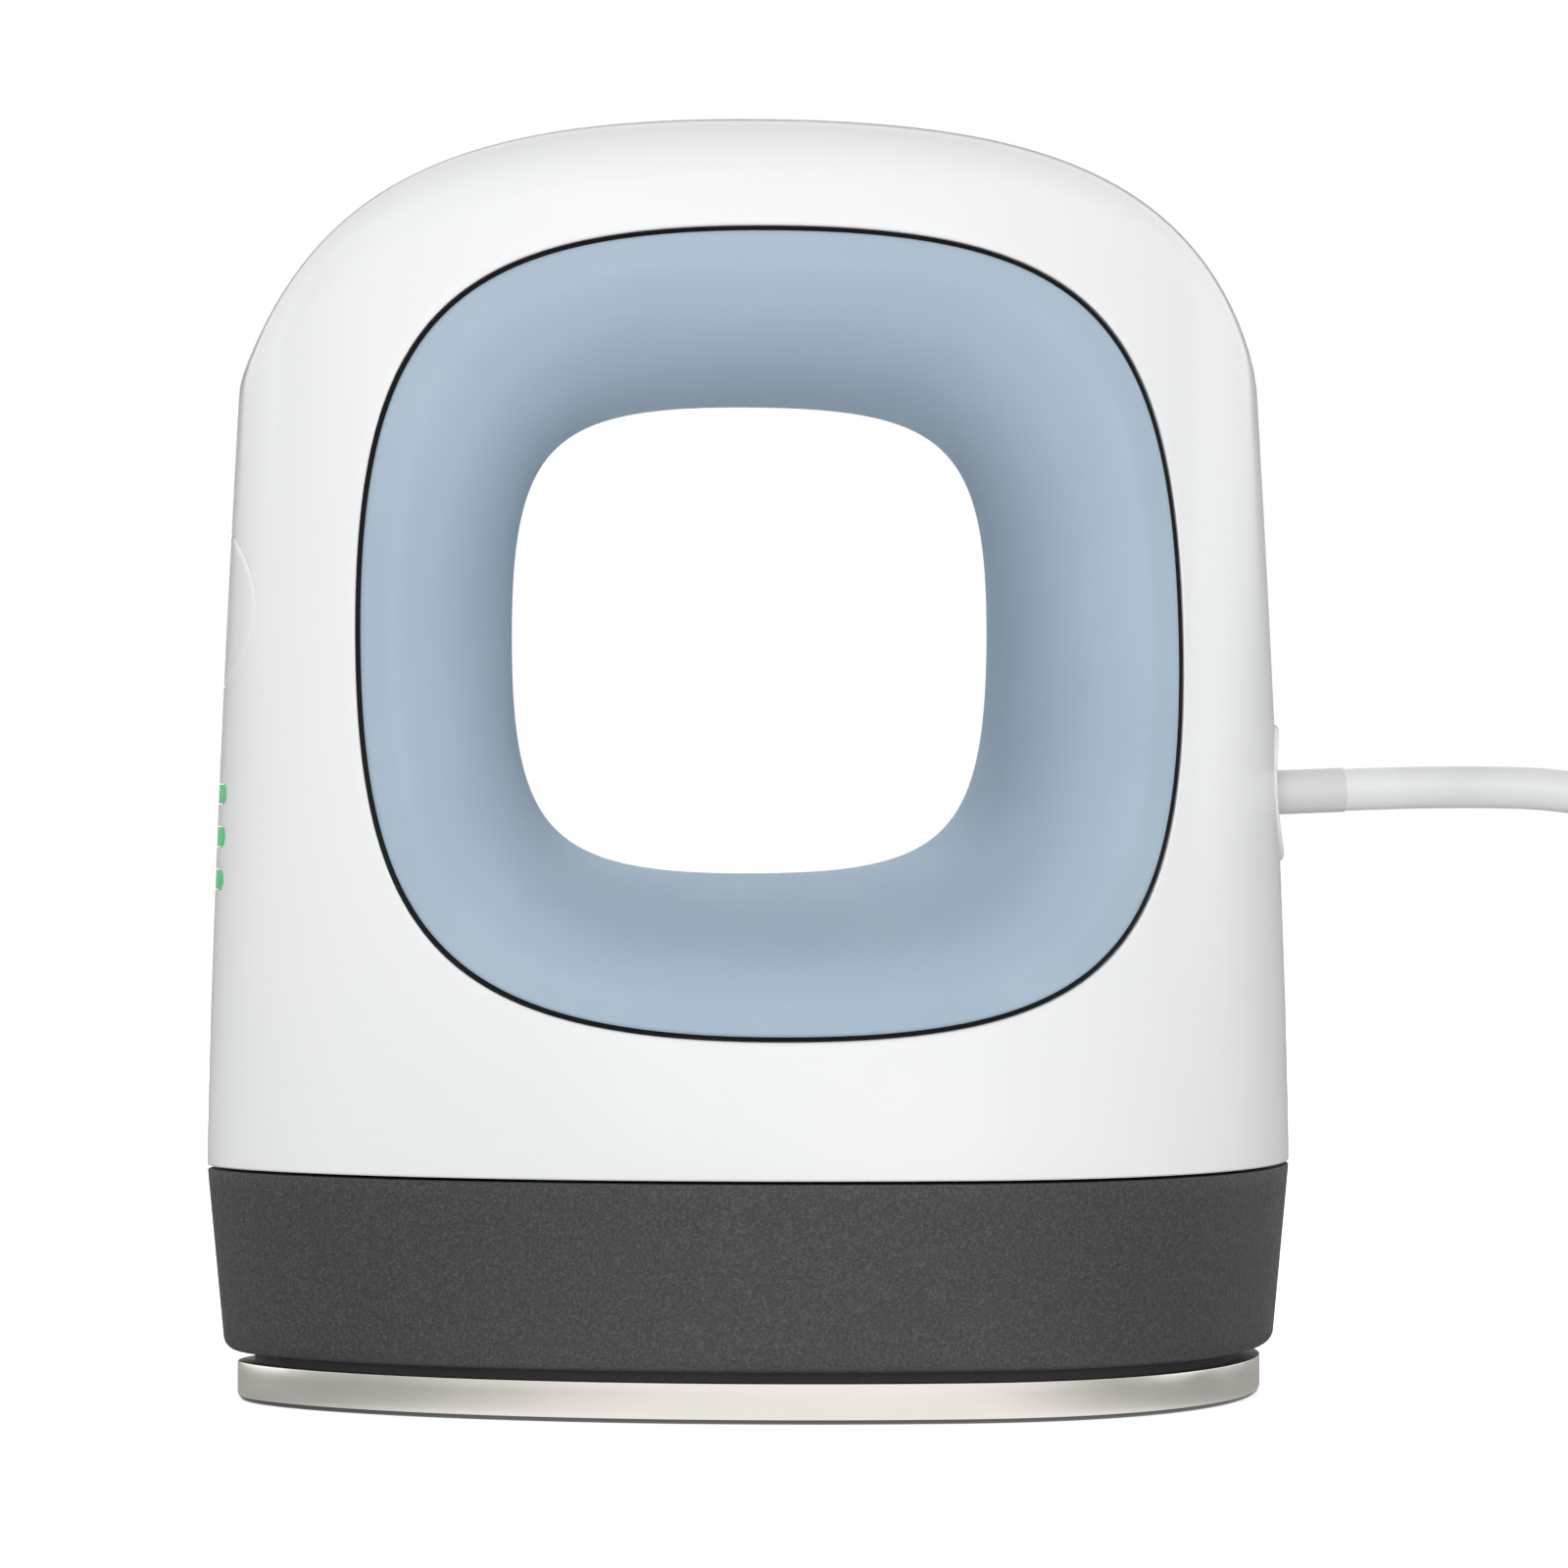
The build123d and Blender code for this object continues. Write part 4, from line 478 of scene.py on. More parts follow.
# ---- the casing's form
def quarter_curve(t, reach, height, tip, flank):
    """Points on a quarter outline: a cubic from (reach, 0), square to the axis there, to (0, height), along it.

    Its handles, tip and flank, are shares of the two sizes.
    """
    s = 1 - t
    return (reach * (s ** 3 + 3 * t * s * s + 3 * t * t * s * flank),
            height * (3 * t * s * s * tip + 3 * t * t * s + t ** 3))


def quarter_distance(u, v, reach, height, tip, flank):
    """Distance of (u, v), neither negative, outside a quarter outline, and the outline's normal there."""
    low, high = np.zeros_like(u), np.ones_like(u)
    for _ in range(CURVE_HALVINGS):
        t = (low + high) / 2
        px, py = quarter_curve(t, reach, height, tip, flank)
        before = px * v > py * u
        low, high = np.where(before, t, low), np.where(before, high, t)
    s = 1 - t
    dx = reach * (-3 * s * s + 3 * (s * s - 2 * t * s) + 3 * flank * (2 * t * s - t * t))
    dy = height * (3 * tip * (s * s - 2 * t * s) + 3 * (2 * t * s - t * t) + 3 * t * t)
    size = np.maximum(np.hypot(dx, dy), 1e-9)
    nu, nv = dy / size, -dx / size
    return (u - px) * nu + (v - py) * nv, nu, nv


def rise(z):
    return np.maximum((z - SEAM_HEIGHT) / (CROWN_HEIGHT - SEAM_HEIGHT), 0.0)


def plan_distance(x, y, half_length, half_width, level):
    """Distance outside the iron-like plan at a level (0 at the seam, 1 at the crown), and its normal."""
    widest = between(SEAM_WIDEST_X, TOP_WIDEST_X, level)
    nose = x < widest
    reach = np.where(nose, half_length + widest, half_length - widest)
    tip = np.where(nose, between(*NOSE_TIP, level), between(*REAR_TIP, level))
    flank = np.where(nose, between(*NOSE_FLANK, level), between(*REAR_FLANK, level))
    distance, nu, nv = quarter_distance(np.abs(x - widest), np.abs(y), reach, half_width + 0 * x, tip, flank)
    return distance, np.where(nose, -nu, nu), nv


def casing_distance(x, y, z):
    """Distance outside the casing's form: a leaning column under an arch, with a rounded crown edge."""
    level = rise(z)
    lean = level ** LEAN_POWER
    half_length = between(SEAM_LENGTH, TOP_LENGTH, lean) / 2
    half_width = between(SEAM_WIDTH, TOP_WIDTH, lean) / 2
    side, side_x, side_y = plan_distance(x, y, half_length, half_width, level)
    steepness = LEAN_POWER * level ** (LEAN_POWER - 1) / (CROWN_HEIGHT - SEAM_HEIGHT) / 2
    slope = steepness * ((SEAM_LENGTH - TOP_LENGTH) * np.abs(side_x) + (SEAM_WIDTH - TOP_WIDTH) * side_y)
    size = np.sqrt(1 + slope * slope)
    side = side / size
    arch, arch_x, arch_z = quarter_distance(np.abs(x), np.maximum(z - ARCH_SPRING, 0.0),
                                            ARCH_SPAN / 2 + 0 * x, CROWN_HEIGHT - ARCH_SPRING + 0 * x,
                                            ARCH_FULNESS, ARCH_FULNESS)
    together = np.clip((side_x * np.sign(x) * arch_x + slope * arch_z) / size, -0.99, 0.9999)
    a, b = side + CROWN_ROUNDING, arch + CROWN_ROUNDING
    spread = 1 - together ** 2
    at_edge = (a > b * together) & (b > a * together)
    edge = np.sqrt(np.maximum(a * a + b * b - 2 * a * b * together, 0) / spread) - CROWN_ROUNDING
    return np.where(at_edge, edge, np.maximum(side, arch))


def last_inside(inside, shape, most):
    """Largest values up to a limit at which a test still says inside, found by halving."""
    low, high = np.zeros(shape), np.full(shape, most)
    for _ in range(HALVINGS):
        middle = (low + high) / 2
        held = inside(middle)
        low, high = np.where(held, middle, low), np.where(held, high, middle)
    return low


def reach_form(x, z):
    """Half depth of the casing's form at places on its side face."""
    return last_inside(lambda y: casing_distance(x, y, z) < 0, x.shape, 30.0)


def reach_end(y, z, towards):
    """X of the casing's form at places on its nose (towards -1) or its rear (towards 1)."""
    return towards * last_inside(lambda x: casing_distance(towards * x, y, z) < 0, y.shape, 50.0)


def cast_rays(origin, directions):
    """Points where rays from inside meet the casing's form."""
    def at(far):
        return origin + far[..., None] * directions

    def inside(far):
        return casing_distance(*np.moveaxis(at(far), -1, 0)) < 0

    return at(last_inside(inside, directions.shape[:-1], 90.0))


def outline_radius(angles, outline, inset=0.0):
    """Distance from the ring's middle to a ring outline, moved inwards, in directions in the XZ plane."""
    width, bottom, top, fulness = outline
    across, up = np.cos(angles), np.sin(angles)
    reach = width / 2 - inset
    height = np.where(up >= 0, top - inset - RING_MIDDLE, RING_MIDDLE - bottom - inset)

    def inside(far):
        place = np.abs(across) * far, np.abs(up) * far
        return quarter_distance(*place, reach + 0 * far, height, fulness, fulness)[0] < 0

    return last_inside(inside, angles.shape, 60.0)


def ring_point(angles, radii, depth):
    """Points round the ring's middle, at depths towards the left side."""
    return np.stack([np.cos(angles) * radii, -depth, RING_MIDDLE + np.sin(angles) * radii], axis=-1)


def face_depth(angles, radii):
    """Depth of the casing's form at places round the ring's middle."""
    return reach_form(np.cos(angles) * radii, RING_MIDDLE + np.sin(angles) * radii)


RING_CENTRE = np.array([0.0, 0.0, RING_MIDDLE])


# ---- meshes
def rework(mesh, sharp_degrees, weld_mm=0.0, least_mm=0.0, outwards=True):
    """Cleans a mesh and turns its faces outwards, smooth but for edges that turn by more than an angle."""
    work = bmesh.new()
    work.from_mesh(mesh)
    if weld_mm:
        bmesh.ops.remove_doubles(work, verts=work.verts, dist=weld_mm * MM)
    if least_mm:
        bmesh.ops.dissolve_degenerate(work, edges=work.edges, dist=least_mm * MM)
    if outwards:
        bmesh.ops.recalc_face_normals(work, faces=work.faces)
    limit = math.radians(sharp_degrees)
    for face in work.faces:
        face.smooth = True
    for edge in work.edges:
        edge.smooth = len(edge.link_faces) == 2 and edge.calc_face_angle(0.0) < limit
    work.to_mesh(mesh)
    work.free()


def settle(piece, sharp_degrees, **cleaning):
    """Turns what a piece's modifiers make into its plain mesh."""
    graph = bpy.context.evaluated_depsgraph_get()
    mesh = bpy.data.meshes.new_from_object(piece.evaluated_get(graph))
    piece.modifiers.clear()
    rework(mesh, sharp_degrees, **cleaning)
    mesh.name = piece.name
    piece.data = mesh


def finish_mesh(name, points, faces, materials, sharp_degrees=40.0, face_slots=None):
    """Object from points in millimetres."""
    mesh = bpy.data.meshes.new(name)
    mesh.from_pydata([tuple(p) for p in np.asarray(points, float) * MM], [], faces)
    for material in materials:
        mesh.materials.append(material)
    if face_slots is not None:
        mesh.polygons.foreach_set("material_index", np.asarray(face_slots, np.int32))
    rework(mesh, sharp_degrees, weld_mm=0.002, least_mm=0.0005)
    return add_object(name, mesh)


def loop_grid(rows, columns, capped=False):
    """Quads of a grid of points whose columns run round, its rows closed to a tube or ending in two caps."""
    faces = []
    for r in range(rows - 1 if capped else rows):
        s = (r + 1) % rows
        for c in range(columns):
            d = (c + 1) % columns
            faces.append((r * columns + c, r * columns + d, s * columns + d, s * columns + c))
    if capped:
        faces.append(tuple(range(columns)))
        faces.append(tuple(range((rows - 1) * columns, rows * columns))[::-1])
    return faces


def both_sides(names, rows, materials, sharp_degrees, face_slots=None):
    """A closed piece on the left, from rows of points round the ring, and its mirror image on the right."""
    made = []
    faces = loop_grid(len(rows), AROUND)
    for name, side in zip(names, (1, -1)):
        points = (rows * np.array([1, side, 1])).reshape(-1, 3)
        made.append(finish_mesh(name, points, faces, materials, sharp_degrees, face_slots))
    return made


# ---- casing shells
EDGE = 0.32  # rounding of the casing's edges
SEAM_EDGE = 0.12  # rounding of the edges at the seam
PARTING = 0.1  # depth of the groove where the halves meet
RIM_CORNER = 18.0  # degrees below the ring's middle at which the seam's corner columns reach the rim


def casing_columns():
    """Outer end and rim direction of each column: over the arch from the parting line, below from the seam.

    At the seam's two corners a column leans towards the arch, so that it leaves the seam upwards.
    """
    corner = math.atan2(RING_MIDDLE - SEAM_HEIGHT, SEAM_LENGTH / 2)
    leant = math.radians(RIM_CORNER)
    start = np.linspace(-corner, math.pi + corner, OVER_ARCH, endpoint=False)
    over = np.linspace(-leant, math.pi + leant, OVER_ARCH, endpoint=False)
    along = np.linspace(math.pi + leant, 2 * math.pi - leant, ALONG_SEAM, endpoint=False)
    flat = np.stack([np.cos(start), 0 * start, np.sin(start)], axis=-1)
    parting = cast_rays(RING_CENTRE, flat)
    side = half_plan(SEAM_LENGTH / 2, SEAM_WIDTH / 2, ALONG_SEAM + 1)[:0:-1]
    seam = np.stack([side[:, 0], -side[:, 1], np.full(ALONG_SEAM, SEAM_HEIGHT)], axis=-1)
    return np.concatenate([parting, seam]), np.concatenate([over, along])


def form_normals(points, step=0.01):
    """Unit normals of the casing's form."""
    slopes = []
    for axis in np.eye(3) * step:
        ahead, behind = (casing_distance(*np.moveaxis(points + way * axis, -1, 0)) for way in (1, -1))
        slopes.append(ahead - behind)
    normal = np.stack(slopes, axis=-1)
    return normal / np.linalg.norm(normal, axis=-1, keepdims=True)


def casing_skin(outer, angles):
    """Grid of points on the casing's left face, from its parting line or seam (first row) to the rim."""
    radius = outline_radius(angles, RIM) + EDGE
    rim = ring_point(angles, radius, face_depth(angles, radius))
    first = (outer - RING_CENTRE) / np.linalg.norm(outer - RING_CENTRE, axis=-1, keepdims=True)
    last = (rim - RING_CENTRE) / np.linalg.norm(rim - RING_CENTRE, axis=-1, keepdims=True)
    sweep = np.arccos(np.sum(first * last, axis=-1))[:, None]

    def on_form(share):
        share = share[..., None]
        turned = np.sin((1 - share) * sweep) * first + np.sin(share * sweep) * last
        points = cast_rays(RING_CENTRE, turned / np.sin(sweep))
        points[0], points[-1] = outer, rim
        return points

    even = np.linspace(0, 1, RAYS)
    step = np.diff(on_form(np.repeat(even[:, None], len(angles), axis=1)), axis=0)
    length = np.linalg.norm(step, axis=-1)
    heading = step / np.maximum(length, 1e-9)[..., None]
    turn = np.arccos(np.clip(np.sum(heading[1:] * heading[:-1], axis=-1), -1, 1))
    weight = length / length.sum(axis=0)
    weight[1:] += 1.2 * turn / turn.sum(axis=0)
    at = np.concatenate([np.zeros((1, len(angles))), np.cumsum(weight, axis=0)])
    shares = [np.interp(np.linspace(0, at[-1, c], SKIN_ROWS), at[:, c], even) for c in range(len(angles))]
    return on_form(np.array(shares).T)


def make_shells(abs_plastic):
    """Both casing halves: outer skin, rounded rim edge, wall and inner skin, closed all round."""
    outer, angles = casing_columns()
    skin = casing_skin(outer, angles)
    rim = outline_radius(angles, RIM)
    at_parting = np.abs(skin[0, :, 1]) < 1e-6
    normals = form_normals(skin)
    inner = skin - CASING_WALL * normals
    inner[0, ~at_parting, 2] = SEAM_HEIGHT
    inner[..., 1] = np.minimum(inner[..., 1], 0.0)
    # The parting edge is eased, and so is the seam's lower edge.
    groove = skin[0].copy()
    groove[at_parting] -= PARTING * normals[0, at_parting]
    groove[~at_parting] -= SEAM_EDGE * np.array([1, 1, 0]) * normals[0, ~at_parting]
    eased = skin[0].copy()
    eased[at_parting, 1] = -PARTING
    eased[~at_parting, 2] += SEAM_EDGE
    edge = []
    for turn in np.radians([30, 60, 90]):
        radius = rim + EDGE * (1 - math.sin(turn))
        edge.append(ring_point(angles, radius, face_depth(angles, radius) - EDGE * (1 - math.cos(turn))))
    wall = edge[-1].copy()
    wall[:, 1] += CASING_WALL - EDGE
    rows = np.concatenate([[groove], [eased], skin[2:], edge, [wall], inner[::-1]])
    return both_sides(("casing_left_shell", "casing_right_shell"), rows, [abs_plastic], 38)


CUT_REACH = 20  # length of the bars that cut the openings
EXIT_AXIS = np.array([math.cos(math.radians(EXIT_TILT)), 0, math.sin(math.radians(EXIT_TILT))])


def round_bar(name, start, axis, radius, straight=0.0, steps=48):
    """Closed bar of round or slotted section along an axis in the XZ plane, for cutting."""
    axis = np.array(axis, float) / np.linalg.norm(axis)
    up = np.cross(axis, [0.0, 1.0, 0.0])
    turn = np.linspace(0, 2 * math.pi, steps, endpoint=False)
    across = np.cos(turn) * radius + np.sign(np.cos(turn)) * straight
    ring = across[:, None] * np.array([0, 1.0, 0]) + (np.sin(turn) * radius)[:, None] * up
    points = np.concatenate([np.array(start) + ring, np.array(start) + ring + axis * CUT_REACH])
    return finish_mesh(name, points, loop_grid(2, steps, capped=True), [])


def cut_away(piece, cutters):
    """Cuts closed bars out of a piece and keeps the result as its plain mesh."""
    for cutter in cutters:
        cut = piece.modifiers.new("cut", "BOOLEAN")
        cut.operation, cut.solver, cut.object = "DIFFERENCE", "EXACT", cutter
    settle(piece, 38.0, least_mm=0.001, outwards=False)


def cut_openings(shells):
    """Openings for the button and the light bars in the nose, and for the cord socket in the rear."""
    hole = BUTTON_DIAMETER / 2 + BUTTON_GAP
    cutters = [round_bar("cut_button", (-36.6, 0, BUTTON_HEIGHT), (-1, 0, 0), hole, steps=96)]
    half = LIGHT_THICKNESS / 2 + LIGHT_GAP
    for height in LIGHT_HEIGHTS:
        cutters.append(round_bar("cut_light", (-38.0, 0, height), (-1, 0, 0), half,
                                 straight=(LIGHT_WIDTH - LIGHT_THICKNESS) / 2, steps=32))
    hole = SOCKET_DIAMETER / 2 + SOCKET_GAP
    cutters.append(round_bar("cut_socket", exit_point() - EXIT_AXIS * 8, EXIT_AXIS, hole, steps=96))
    for shell in shells:
        cut_away(shell, cutters)
    for cutter in cutters:
        bpy.data.objects.remove(cutter)


def exit_point():
    """Where the exit axis passes through the casing's rear."""
    lean = rise(EXIT_HEIGHT) ** LEAN_POWER
    return np.array([between(SEAM_LENGTH, TOP_LENGTH, lean) / 2, 0.0, EXIT_HEIGHT])


# ---- grips
CREASE_ANGLE = 80.0  # degrees of the quarter ellipse that the throat takes, before the crease at the band
GRIP_EDGE = 0.4
GRIP_LIP_DEPTH, GRIP_LIP_FIT = 0.7, 0.03  # the hard black edge that fills the gap under the soft skin; its near-black also paints the shade in the gap
GRIP_DEPTH, GRIP_RIM = 3.4, 1.6  # how deep the band reaches behind its face, and its width there
CREASE_EDGE = 0.25


def make_grips(elastomer, black_and_gap_shade):
    """Soft-touch rings: black hard edge in the gap, whose near-black also paints the gap's shade, flush band,
    faint crease and the flared throat.
    """
    angles = np.linspace(0, 2 * math.pi, AROUND, endpoint=False)
    outer = outline_radius(angles, RIM, GRIP_GAP)
    crease = outline_radius(angles, RIM, RIM_BAND)
    hole = outline_radius(angles, HOLE)

    rows, slots = [], []

    def row(radius, depth, slot=0):
        rows.append(ring_point(angles, radius, depth))
        slots.append(slot)

    face = face_depth(angles, outer)
    lip = outer + GRIP_GAP - GRIP_LIP_FIT
    # Rows in slot 1 are near-black: the hard edge, and painted shade in the gap.
    row(lip, face - GRIP_DEPTH, 1)
    row(lip, face - GRIP_LIP_DEPTH, 1)
    row(outer, face - GRIP_LIP_DEPTH, 1)
    row(outer, face - GRIP_EDGE)
    for turn in np.radians([70, 50, 30, 12]):
        radius = outer - GRIP_EDGE * (1 - math.sin(turn))
        row(radius, face_depth(angles, radius) - GRIP_EDGE * (1 - math.cos(turn)))
    start, stop = outer - GRIP_EDGE, crease + CREASE_EDGE
    for share in np.linspace(0, 1, 6):
        radius = between(start, stop, share)
        row(radius, face_depth(angles, radius))
    depth = face_depth(angles, crease)
    last = math.radians(CREASE_ANGLE)

    def flare(turn):
        radius = hole + (crease - hole) * (1 - math.cos(turn)) / (1 - math.cos(last))
        return radius, depth * math.sin(turn) / math.sin(last)

    for turn in np.linspace(last * 0.985, 0, THROAT_ROWS):
        row(*flare(turn))
    for turn in np.linspace(0, last * 0.8, 10):
        radius, level = flare(turn)
        row(radius + GRIP_WALL, np.minimum(level, depth - GRIP_DEPTH))
    row(outer - GRIP_RIM, face - GRIP_DEPTH, 1)
    return both_sides(("soft_left_grip", "soft_right_grip"), np.array(rows), [elastomer, black_and_gap_shade], 60,
                      np.repeat(slots, AROUND))


# ---- base
def half_plan(half_length, half_width, count):
    """Points along one side of a plan outline of the seam's form, evenly spaced from its rear to its nose."""
    t = np.linspace(0, 1, 400)
    quarters = []
    for end, tip, flank in ((half_length, REAR_TIP, REAR_FLANK), (-half_length, NOSE_TIP, NOSE_FLANK)):
        x, y = quarter_curve(t, end - SEAM_WIDEST_X, half_width, tip[0], flank[0])
        quarters.append(np.stack([SEAM_WIDEST_X + x, y], axis=-1))
    rear, nose = quarters
    line = np.concatenate([rear, nose[::-1][1:]])
    length = np.concatenate([[0], np.cumsum(np.linalg.norm(np.diff(line, axis=0), axis=1))])
    where = np.linspace(0, length[-1], count)
    return np.stack([np.interp(where, length, line[:, 0]), np.interp(where, length, line[:, 1])], axis=-1)


def plan_points(half_length, half_width):
    """Points round a plan outline of the seam's form, evenly spaced along it."""
    half = half_plan(half_length, half_width, AROUND // 2 + 1)
    return np.concatenate([half, half[::-1][1:-1] * [1, -1]])


def stacked_plan(name, profile, material, capped=False):
    """Closed piece from plan outlines stacked along a profile of (half length, half width, height)."""
    rows = []
    for half_length, half_width, height in profile:
        flat = plan_points(half_length, half_width)
        rows.append(np.concatenate([flat, np.full((len(flat), 1), height)], axis=1))
    return finish_mesh(name, np.concatenate(rows), loop_grid(len(rows), AROUND, capped), [material])


def make_skirt(pbt):
    """Skirt: rounded foot, leaning side, eased top edge, open inside."""
    profile = []

    def ring(height, inset):
        share = (height - SKIRT_BOTTOM) / (SEAM_HEIGHT - SKIRT_BOTTOM)
        half_length = between(SKIRT_FOOT_LENGTH, SEAM_LENGTH, share) / 2
        half_width = between(SKIRT_FOOT_WIDTH, SEAM_WIDTH, share) / 2
        profile.append((half_length - inset, half_width - inset, height))

    ring(SKIRT_BOTTOM, SKIRT_FOOT_ROUNDING + SKIRT_LEDGE)
    for turn in np.radians(np.linspace(0, 90, 8)):
        height = SKIRT_BOTTOM + SKIRT_FOOT_ROUNDING * (1 - math.cos(turn))
        ring(height, SKIRT_FOOT_ROUNDING * (1 - math.sin(turn)))
    top = SEAM_HEIGHT - SEAM_GAP
    for height in np.linspace(SKIRT_BOTTOM + SKIRT_FOOT_ROUNDING + 0.8, top - SEAM_EDGE, 10):
        ring(height, 0)
    ring(top - SEAM_EDGE / 3, SEAM_EDGE / 4)
    ring(top, SEAM_EDGE)
    ring(top, SKIRT_WALL)
    ring(SKIRT_BOTTOM + SKIRT_FLOOR, SKIRT_WALL)
    ring(SKIRT_BOTTOM + SKIRT_FLOOR, SKIRT_FOOT_ROUNDING + SKIRT_LEDGE)
    return stacked_plan("textured_skirt", profile, pbt)


def make_plate(metal):
    """Heated plate: rounded sole edge, satin rim, eased upper edge and the raised pad on its back."""
    profile = []

    def ring(inset, height):
        profile.append((PLATE_LENGTH / 2 - inset, PLATE_WIDTH / 2 - inset, height))

    ring(SOLE_FLAT, 0)
    for turn in np.radians(np.linspace(0, 90, 8)):
        ring(SOLE_ROUNDING * (1 - math.sin(turn)), SOLE_ROUNDING * (1 - math.cos(turn)))
    for height in RIM_LINES:
        ring(0, height)
    for inset, below in PLATE_EDGE:
        ring(inset, PLATE_THICKNESS - below)
    ring(PAD_INSET, PLATE_THICKNESS)
    ring(PAD_INSET, PLATE_THICKNESS + PAD_HEIGHT)
    return stacked_plan("satin_plate", profile, metal, capped=True)


# ---- nose and rear details
CAP_DEPTH, CAP_EDGE = 3.0, 0.25


def make_button(abs_plastic):
    """Button cap: a round piece of the nose's form with an eased edge."""
    rows = []
    turn = np.linspace(0, 2 * math.pi, 96, endpoint=False)
    outline = np.stack([np.cos(turn), np.sin(turn)], axis=-1) * BUTTON_DIAMETER / 2
    radius = np.linalg.norm(outline, axis=1, keepdims=True)

    def row(flat, sunk=0.0):
        x = reach_end(flat[:, 0], flat[:, 1] + BUTTON_HEIGHT, -1) + sunk
        rows.append(np.stack([x, flat[:, 0], flat[:, 1] + BUTTON_HEIGHT], axis=-1))

    for share in np.linspace(0.05, 1 - CAP_EDGE / radius.min(), 14):
        row(outline * share)
    for turn in np.radians([25, 50, 75, 90]):
        row(outline - outline / radius * CAP_EDGE * (1 - math.sin(turn)), CAP_EDGE * (1 - math.cos(turn)))
    rows.append(rows[-1] + [CAP_DEPTH, 0, 0])
    faces = loop_grid(len(rows), len(outline), capped=True)
    return finish_mesh("button_cap", np.concatenate(rows), faces, [abs_plastic], 45)


SOCKETS = {int: "NodeSocketInt", float: "NodeSocketFloat", tuple: "NodeSocketVector"}


def size_tree(name, sizes):
    """Geometry tree with an input for each size; gives the tree and its inputs' sockets."""
    tree = bpy.data.node_groups.new(name, "GeometryNodeTree")
    for label, value in sizes.items():
        tree.interface.new_socket(name=label, in_out="INPUT", socket_type=SOCKETS[type(value)])
    tree.interface.new_socket(name="Shape", in_out="OUTPUT", socket_type="NodeSocketGeometry")
    return tree, add_node(tree, "NodeGroupInput")


def end_tree(tree, instances, material):
    """Ends a geometry tree with real meshes in one material."""
    real = add_node(tree, "GeometryNodeRealizeInstances", Geometry=instances)
    finished = add_node(tree, "GeometryNodeSetMaterial", Geometry=real[0], Material=material)
    add_node(tree, "NodeGroupOutput", Shape=finished[0])


def grow_piece(name, tree, sizes, edge_mm):
    """Plain mesh piece from a geometry tree, with its sizes set and its edges rounded."""
    piece = add_object(name, bpy.data.meshes.new(name))
    growth = piece.modifiers.new("growth", "NODES")
    growth.node_group = tree
    for item in tree.interface.items_tree:
        if item.in_out == "INPUT":
            growth[item.identifier] = sizes[item.name]
    edges = piece.modifiers.new("edges", "BEVEL")
    edges.width, edges.segments, edges.limit_method = edge_mm * MM, 2, "ANGLE"
    edges.angle_limit = math.radians(50)
    settle(piece, 40.0)
    return piece


def nudge(tree, shape, **offset):
    """Moves a shape's points along axes."""
    by = add_node(tree, "ShaderNodeCombineXYZ", **offset)
    return add_node(tree, "GeometryNodeSetPosition", Geometry=shape, Offset=by[0])[0]


def make_lights(acrylic):
    """Row of lit bars: slot-shaped ends of the light guide that follow the nose's curve and lean."""
    top, middle, low = LIGHT_HEIGHTS
    half_width = LIGHT_WIDTH / 2
    places = np.array([(0.0, top), (0.0, low), (half_width, middle), (0.0, middle)])
    x_top, x_low, x_side, x_mid = reach_end(places[:, 0], places[:, 1], -1).tolist()
    gaps = len(LIGHT_HEIGHTS) - 1
    sizes = {
        "Count": len(LIGHT_HEIGHTS),
        "First Bar": ((x_top - LIGHT_PROUD) * MM, 0.0, top * MM),
        "Pitch": ((x_low - x_top) / gaps * MM, 0.0, (low - top) / gaps * MM),
        "Thickness": LIGHT_THICKNESS * MM,
        "Straight": (LIGHT_WIDTH - LIGHT_THICKNESS) / 2 * MM,
        "Depth": LIGHT_DEPTH * MM,
        "Nose Bend": (x_side - x_mid) / half_width ** 2 / MM,
        "Nose Lean": (x_top - x_low) / (top - low),
    }
    tree, size = size_tree("row_of_light_bars", sizes)
    rod = add_node(tree, "GeometryNodeMeshCylinder", {"fill_type": "TRIANGLE_FAN"}, Vertices=LIGHT_CORNERS,
                   Radius=reckon(tree, "MULTIPLY", size["Thickness"], 0.5), Depth=size["Depth"],
                   **{"Fill Segments": LIGHT_RINGS})
    turned = add_node(tree, "GeometryNodeTransform", Geometry=rod["Mesh"],
                      Rotation=(0, 0, math.pi / LIGHT_CORNERS))
    inwards = add_node(tree, "ShaderNodeCombineXYZ", X=reckon(tree, "MULTIPLY", size["Depth"], 0.5))
    laid = add_node(tree, "GeometryNodeTransform", Geometry=turned[0], Rotation=(0, math.pi / 2, 0),
                    Translation=inwards[0])
    # The round end becomes a slot: each half moves outwards by half the straight part.
    place = add_node(tree, "GeometryNodeInputPosition")[0]
    y, z = axis_of(tree, place, "Y"), axis_of(tree, place, "Z")
    apart = reckon(tree, "MULTIPLY", reckon(tree, "SIGN", y), size["Straight"])
    slot = nudge(tree, laid[0], Y=apart)
    bend = reckon(tree, "MULTIPLY", reckon(tree, "MULTIPLY", y, y), size["Nose Bend"])
    bar = nudge(tree, slot, X=reckon(tree, "MULTIPLY_ADD", z, size["Nose Lean"], bend))
    row = add_node(tree, "GeometryNodeMeshLine", {"mode": "OFFSET"}, Count=size["Count"],
                   Offset=size["Pitch"], **{"Start Location": size["First Bar"]})
    bars = add_node(tree, "GeometryNodeInstanceOnPoints", Points=row[0], Instance=bar)
    end_tree(tree, bars[0], acrylic)
    return grow_piece("light_bars", tree, sizes, LIGHT_EDGE)


